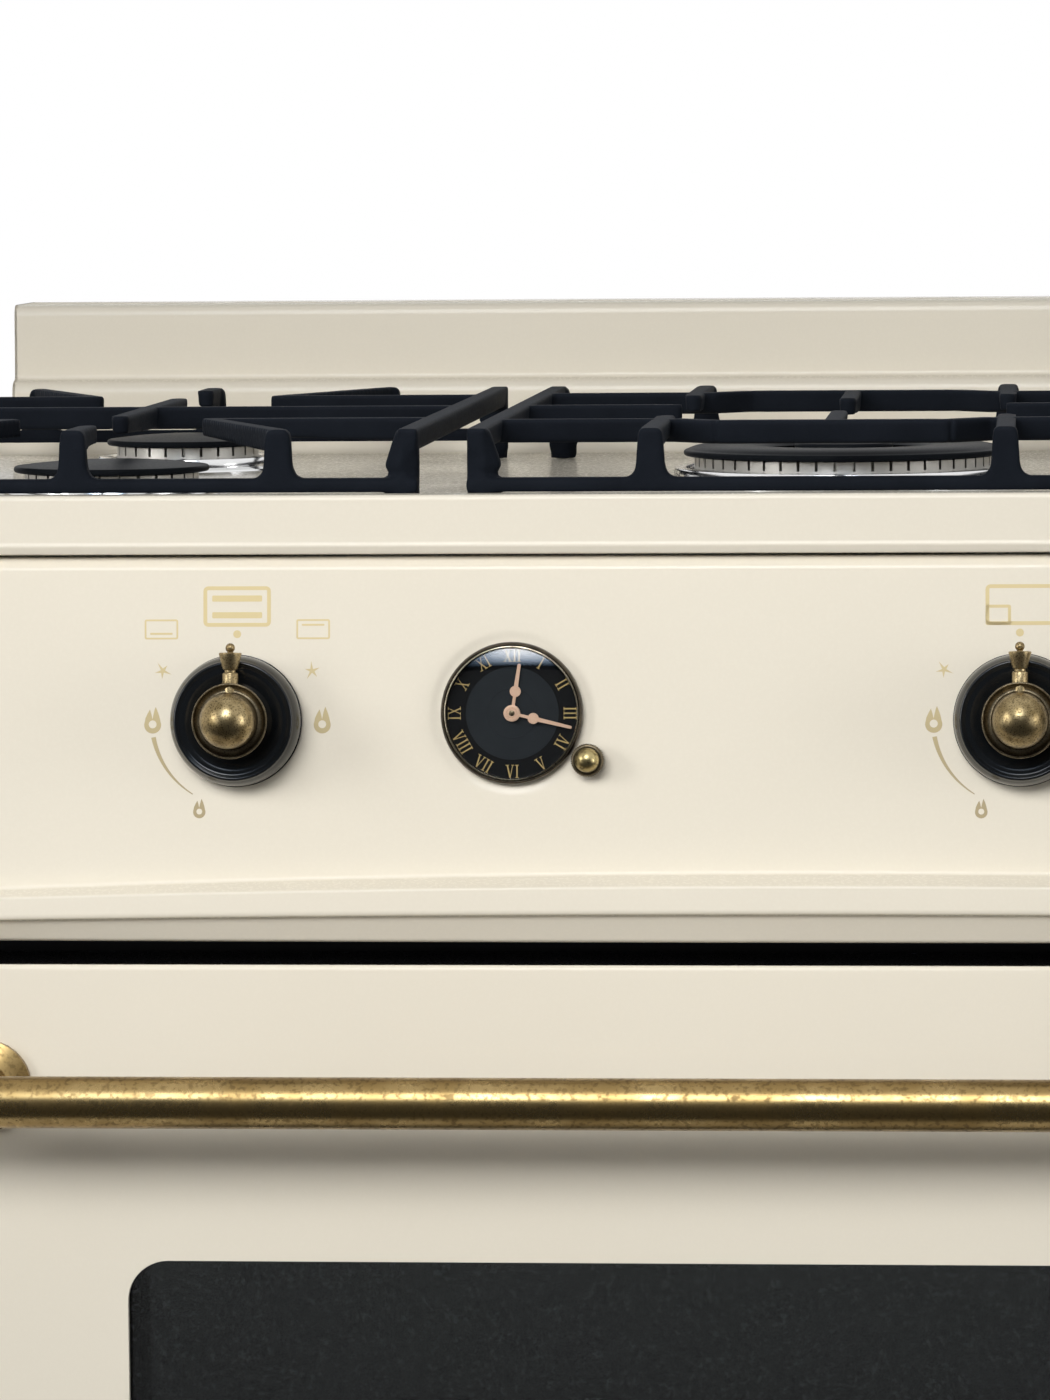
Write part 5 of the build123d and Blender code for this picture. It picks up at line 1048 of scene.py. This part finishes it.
# Grates. Sand-cast iron, blue-black from the enamel: a low fence with posts along the front and
# the rear, faceted corner posts, raised side rails, and fingers that carry the pans.
fence_front, fence_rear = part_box("grate_left")[0].y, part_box("grate_left")[1].y
pan_level, bar_low, rail_low, rail_high = 0.925, 0.9155, 0.9003, 0.9058
bar_wide, bar_foot, finger_rise = 0.008, 0.0062, 0.0022
side_half, centre_half, column_x = 0.136, 0.141, 0.296
front_depth, middle_depth, rear_depth = 0.11, 0.23, 0.35
post_wide, post_foot, post_spacing, centre_post_x = 0.0105, 0.028, 0.081, 0.069
corner_wide, finger_tip, near_gap, mid_gap = 0.013, 0.041, 0.065, 0.027
shelf_depth, shelf_step, shelf_flat, arm_overrun, wok_tip = 0.088, 0.018, 0.046, 0.030, 0.072
pad_radius, pad_low, voxel, smoothing = 0.006, deck_top + 0.0003, 0.00135, 2
bar_lap, fence_lap = 0.002, 0.001
beam_faces = np.array([(0, 1, 2, 3), (7, 6, 5, 4), (0, 4, 5, 1), (1, 5, 6, 2), (2, 6, 7, 3),
                       (3, 7, 4, 0)])


def beam(start, end, low=bar_low, high=pan_level, end_low=None, wide=bar_wide, foot=bar_foot):
    """A straight bar between two points of the plan, narrower at its underside: corners at
    half the width each side of the line, square to it."""
    start, end = np.array(start, float), np.array(end, float)
    side = np.array((end[1] - start[1], start[0] - end[0])) / np.linalg.norm(end - start)
    points = [(*(point + side * width / 2 * sign), z)
              for point, foot_z in ((start, low), (end, end_low or low))
              for sign, width, z in ((-1, wide, high), (-1, foot, foot_z), (1, foot, foot_z),
                                     (1, wide, high))]
    return np.array(points), [beam_faces]


def finger(start, end):
    """A bar whose underside rises towards a rounded tip."""
    angle = np.radians(np.arange(0, 360, 30))
    tip = np.column_stack([np.cos(angle), np.sin(angle)]) * bar_wide / 2 * 0.9 + np.array(end)
    return [beam(start, end, end_low=bar_low + finger_rise),
            plate([tip], bar_low + finger_rise, pan_level)]


def fence_post(x, y):
    """An upright with a rounded head and a foot that flares into the low rail, cut from a
    plate as thick as the bars."""
    head, foot = post_wide / 2, post_foot / 2
    outline = rounded([(-foot, rail_low), (foot, rail_low), (foot, rail_high),
                       (head + 0.0006, rail_high), (head - 0.0005, pan_level),
                       (0.0005 - head, pan_level), (-head - 0.0006, rail_high), (-foot, rail_high)],
                      [0.0002, 0.0002, 0.0003, 0.0058, 0.0030, 0.0030, 0.0058, 0.0003], 6, True)
    upright = Matrix(((1, 0, 0, x), (0, 0, -1, y), (0, 1, 0, 0), (0, 0, 0, 1)))
    return placed(plate([outline], -bar_wide, 0.0), upright)


def corner_post(x, y, outer, facing_y):
    """A faceted post: a five-sided section with its ridge to the front or rear. Its outer side
    is upright; the rest is narrow at the top and widest two thirds of the way down."""
    section = np.array([(-1, 1), (-1, -0.35), (-0.1, -1), (1, -0.35), (1, 1)]) * (outer, facing_y)
    section = section[::1 if outer > 0 else -1]
    levels = [(pan_level, 0.6), (pan_level - 0.0016, 0.7), (0.9115, 1.0), (0.9100, 1.0),
              (0.9060, 0.84), (rail_low, 0.74), (pad_low + 0.004, 0.72)]
    rows = [np.column_stack([(section[:, 0] * share + outer * (1 - share)) * corner_wide / 2 + x,
                             section[:, 1] * corner_wide / 2 * share + y, np.full(5, z)])
            for z, share in levels]
    points = np.stack(rows, 1)
    body, quads = grid(points, wrap_u=True)
    ends = [np.arange(5)[None, :] * len(levels), np.arange(5)[None, ::-1] * len(levels)
            + len(levels) - 1]
    return body, [*quads, *ends]


def frame_of(centre, half, posts):
    """What every grate has: two fences, side rails, corner posts and rubber-shod feet."""
    parts = []
    for y, inward in ((fence_front, 1), (fence_rear, -1)):
        line = y + inward * bar_wide / 2
        parts.append(beam((centre - half, line), (centre + half, line), rail_low, rail_high,
                          wide=bar_wide, foot=bar_wide))
        parts += [fence_post(centre + x, line - bar_wide / 2) for x in posts]
        for side in (-1, 1):
            corner = (centre + side * (half - corner_wide / 2), y + inward * corner_wide / 2)
            parts.append(corner_post(*corner, side, inward))
            parts.append(plate([circle(pad_radius, 16, corner)], pad_low, rail_low + bar_lap))
    for side in (-1, 1):
        x = centre + side * (half - bar_wide / 2)
        parts.append(beam((x, fence_front + bar_lap), (x, fence_rear - bar_lap)))
    return parts


def cast(name, parts, finish, body, node):
    """Parts that run into each other become one skin, as a casting has: a voxel remesh and a
    light smoothing, both applied."""
    made = piece(f"{name}_casting", parts, finish, body, [node], weld=False)
    remesh = made.modifiers.new("skin", "REMESH")
    remesh.mode, remesh.voxel_size = "VOXEL", voxel
    relax = made.modifiers.new("relax", "SMOOTH")
    relax.factor, relax.iterations = 0.5, smoothing
    graph = bpy.context.evaluated_depsgraph_get()
    shape = bpy.data.meshes.new_from_object(made.evaluated_get(graph))
    made.modifiers.clear()
    made.data = shape
    shape.materials.clear()
    shape.materials.append(finish.material)
    shape.shade_smooth()


cast_iron = Finish("cast_iron", {"Specular IOR Level": 0.015})
grain = cast_iron.noise(850.0, 2.0)
# Painted highlight: the tops of the bars are painted a lighter blue-grey, broken up by the grain.
top_painted_highlight = cast_iron.step(cast_iron.axis(2), pan_level - 0.0022, pan_level - 0.0002)
iron = cast_iron.mix(cast_iron.noise(45.0, 4.0), paint(18, 21, 26), paint(30, 34, 41))
cast_iron.feed("Base Color", cast_iron.mix(top_painted_highlight * (grain * 0.9 + 0.1), iron, paint(33, 37, 44)))
cast_iron.feed("Roughness", grain * 0.2 + 0.48)
cast_iron.bump(grain + cast_iron.noise(260.0, 2.0) * 0.6, 0.35, 0.0004)
for side, name in ((-1, "left"), (1, "right")):
    centre = side * column_x
    cross = fence_front + middle_depth
    parts = frame_of(centre, side_half, (-post_spacing, 0.0, post_spacing))
    reach = side_half - bar_lap
    parts.append(beam((centre - reach, cross), (centre + reach, cross)))
    for depth, edge_y, inward in ((front_depth, fence_front, 1), (rear_depth, fence_rear, -1)):
        y = fence_front + depth
        for hand in (-1, 1):
            tip = (centre + hand * finger_tip, y)
            parts += finger((centre + hand * reach, y), tip)
            parts += finger((centre + hand * post_spacing, edge_y + inward * bar_wide / 2), tip)
        parts += finger((centre, edge_y + inward * fence_lap), (centre, y - inward * near_gap))
        parts += finger((centre, cross), (centre, y + inward * mid_gap))
    cast(f"grate_{name}", parts, cast_iron, f"grate_{name}", f"grate_{name}")
parts = frame_of(0.0, centre_half, (-centre_post_x, centre_post_x))
for edge_y, inward in ((fence_front, 1), (fence_rear, -1)):
    back, near = edge_y + inward * shelf_depth, edge_y + inward * (shelf_depth - shelf_step)
    shelf = [(-centre_half + bar_lap, back), (-shelf_flat - shelf_step, back), (-shelf_flat, near),
             (shelf_flat, near), (shelf_flat + shelf_step, back), (centre_half - bar_lap, back)]
    parts += [beam(a, b) for a, b in zip(shelf, shelf[1:])]
    for x in (-centre_post_x, centre_post_x):
        parts += finger((x, edge_y + inward * fence_lap), (x, back + inward * arm_overrun))
    parts += finger((0.0, near), (0.0, edge_y + inward * (middle_depth - wok_tip)))
for side in (-1, 1):
    parts += finger((side * (centre_half - bar_lap), fence_front + middle_depth),
                    (side * wok_tip, fence_front + middle_depth))
cast("grate_centre", parts, cast_iron, "grate_centre", "grate_centre")

# Carcass. Folded steel: enamelled side panels, a galvanised back and base, turned steel feet
# with rubber soles, and pan-head screws round the edge of the back.
spangle_scale, fold_round, crystal_share = 90.0, 0.0008, 0.7
sole_height, sole_edge = 0.01, 0.0002


def softened(node, finish, body, width, segments=2):
    """A smooth copy of a node. Its sharp edges are rounded over that width, if it has one."""
    mesh = frame["nodes"][node].data.copy()
    mesh.materials.clear()
    mesh.materials.append(finish.material)
    shape = bmesh.new()
    shape.from_mesh(mesh)
    bmesh.ops.remove_doubles(shape, verts=shape.verts, dist=weld_distance)
    bmesh.ops.dissolve_limit(shape, angle_limit=math.radians(0.5), verts=shape.verts,
                             edges=shape.edges)
    shape.to_mesh(mesh)
    shape.free()
    mesh.shade_smooth()
    mesh.set_sharp_from_angle(angle=math.radians(crease_angle))
    made = bpy.data.objects.new(f"{node}_shell", mesh)
    bpy.context.scene.collection.objects.link(made)
    if width:
        bevel = made.modifiers.new("rounded_edges", "BEVEL")
        bevel.width, bevel.segments, bevel.harden_normals = width, segments, True
        bevel.limit_method, bevel.angle_limit = "ANGLE", math.radians(40)
    return fitted(made, body, [node])


def galvanised(name, light, dark):
    """Hot-dip zinc: flat crystals, each with its own tone and gloss, and a soft grain."""
    finish = Finish(name, {"Metallic": 0.9})
    crystal = finish.node("ShaderNodeTexVoronoi", {"feature": "F1"},
                          {"Vector": finish.place, "Scale": spangle_scale}, "Color")
    tone = finish.node("ShaderNodeSeparateColor", {}, {0: crystal}, 0)
    finish.feed("Base Color", finish.mix(
        tone * crystal_share + finish.noise(20.0, 3.0) * (1 - crystal_share), dark, light))
    finish.feed("Roughness", tone * 0.14 + 0.34)
    finish.bump(finish.noise(500.0, 2.0), 0.06, 0.0001)
    return finish


zinc = galvanised("galvanised_steel", paint(177, 181, 185), paint(153, 157, 162))
for name in ("side_panel_left", "side_panel_right"):
    softened(name, cream_enamel, "root", fold_round)
for name in ("back_panel", "base_pan"):
    softened(name, zinc, "root", fold_round / 2)
foot_steel = Finish("foot_steel", {})
above_sole = foot_steel.step(foot_steel.axis(2), sole_height - sole_edge, sole_height + sole_edge)
turned_steel = foot_steel.mix(foot_steel.noise(60.0, 3.0), paint(100, 102, 106),
                              paint(136, 138, 142))
foot_steel.feed("Base Color", foot_steel.mix(above_sole, paint(26, 26, 27), turned_steel))
foot_steel.feed("Metallic", above_sole)
foot_steel.feed("Roughness", foot_steel.noise(300.0, 2.0) * 0.12 + 0.72 - above_sole * 0.38)
foot_steel.bump(foot_steel.noise(840.0, 2.0), 0.08, 0.0001)
softened("feet", foot_steel, "root", fold_round)
softened("screws", zinc, "root", fold_round / 2)

# Oven. Behind a front frame painted near-black, a painted shade that stands for the deep gap above
# the door, sits an enamelled steel box with a flue. It holds two looped burners, a pressed floor
# plate, and wire runners with a chromed rack, and a rubber seal lies round its mouth.
speckle_low, speckle_high = 0.60, 0.66


def speckled(name, ground, dots, roughness):
    """Dark oven enamel with pale specks fired into it."""
    finish = Finish(name, {"Coat Weight": 0.4, "Coat Roughness": 0.1})
    dot = finish.step(finish.noise(520.0, 1.0), speckle_low, speckle_high)
    finish.feed("Base Color", finish.mix(dot, ground, dots))
    finish.feed("Roughness", finish.noise(80.0, 3.0) * 0.14 + roughness)
    finish.bump(finish.noise(240.0, 2.0), 0.08, 0.0002)
    return finish


oven_enamel = speckled("oven_enamel", paint(32, 34, 40), paint(120, 124, 134), 0.24)
shelf_chrome = metal("shelf_chrome", paint(216, 217, 218), paint(180, 182, 185), 0.14, 60.0, 0.03)
# Painted shade: the front frame is coloured near-black so that the gap between the control panel
# and the door reads as deep shade.
frame_painted_shade = speckled("frame_painted_shade", paint(13, 14, 16), paint(19, 20, 22), 0.3)
softened("front_frame", frame_painted_shade, "root", fold_round)
tube_steel = metal("tube_steel", paint(150, 148, 146), paint(104, 100, 98), 0.36, 50.0, 0.12)
seal_rubber = plain("seal_rubber", paint(34, 34, 35), paint(24, 24, 25), 0.6, 0.0, 300.0, 0.2)
softened("oven_liner", oven_enamel, "root", fold_round)
softened("oven_floor_plate", oven_enamel, "root", fold_round)
softened("oven_burners", tube_steel, "root", 0.0)
softened("shelf_runners", shelf_chrome, "root", 0.0)
softened("oven_rack", shelf_chrome, "oven_rack", 0.0)
softened("door_seal", seal_rubber, "root", 0.0012)

# Gas and mains. A steel rail carries six brass taps; bright aluminium feed tubes run from the
# taps to the burners, and a moulded gland in the back panel waits for a supply lead. The clock's
# movement, behind the control panel, has a case of the same black moulding.
tap_brass = metal("tap_brass", paint(206, 172, 106), paint(166, 130, 72), 0.26, 90.0, 0.08)
pipe_aluminium = metal("pipe_aluminium", paint(206, 207, 208), paint(172, 174, 177), 0.3, 70.0,
                       0.06)
dark_moulding = plain("dark_moulding", paint(34, 35, 37), paint(24, 25, 27), 0.5, 0.0, 200.0, 0.1)
softened("gas_rail", tube_steel, "root", 0.0005)
softened("gas_taps", tap_brass, "root", 0.0012)
softened("gas_pipes", pipe_aluminium, "root", 0.0)
softened("mains_gland", dark_moulding, "root", 0.0006)
softened("clock_movement", dark_moulding, "root", 0.0012)

# Door. An enamelled skin whose upper fold is painted near-black as painted shade for the gap above
# it, and a dark liner on two hinge straps, with two tinted panes between them, and a brass tube
# handle with plugged ends on two brackets.
door_round, fold_start, fold_depth, fold_run = 0.0012, 0.0008, 0.0006, 0.0003
tinted_glass = Finish("tinted_glass", {"Base Color": (0.42, 0.44, 0.44, 1.0),
                                       "Transmission Weight": 1.0, "IOR": 1.45})
tinted_glass.feed("Roughness", tinted_glass.noise(60.0, 2.0) * 0.012)
handle_brass = aged_brass("handle_brass", paint(168, 144, 98), paint(142, 118, 74),
                          paint(112, 92, 58), 240.0, 0.24)
door_front, door_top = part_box("door_skin")[0].y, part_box("door_skin")[1].z
door_enamel_painted_shade = enamel("door_enamel_painted_shade", cream, cream_shade, 0.24, 0.25)
# Painted shade: the top of the skin's upper fold is coloured near-black, standing for the shade in
# the gap under the control panel.
top_fold_painted_shade = (door_enamel_painted_shade.step(door_enamel_painted_shade.axis(1), door_front + fold_start,
                               door_front + fold_start + fold_run)
              * door_enamel_painted_shade.step(door_enamel_painted_shade.axis(2), door_top - fold_depth,
                                 door_top - fold_depth + fold_run))
door_cream = door_enamel_painted_shade.mix(door_enamel_painted_shade.noise(5.0, 3.0), cream_shade, cream)
door_enamel_painted_shade.feed("Base Color", door_enamel_painted_shade.mix(top_fold_painted_shade, door_cream, paint(12, 12, 13)))
softened("door_skin", door_enamel_painted_shade, "door", door_round, 3)
softened("door_liner", oven_enamel, "door", fold_round)
softened("door_panes", tinted_glass, "door", fold_round)
softened("door_handle", handle_brass, "door", 0.0)
softened("handle_brackets", handle_brass, "door", fold_round)
softened("hinge_straps", zinc, "door", fold_round / 2)
softened("hinge_pins", zinc, "root", fold_round / 2)

# Drawer. A cream front like the door's on a galvanised box that slides on the base's runners,
# with a brass bar handle.
softened("drawer_front", cream_enamel, "drawer", door_round, 3)
softened("drawer_box", zinc, "drawer", fold_round / 2)
softened("drawer_handle", handle_brass, "drawer", fold_round)
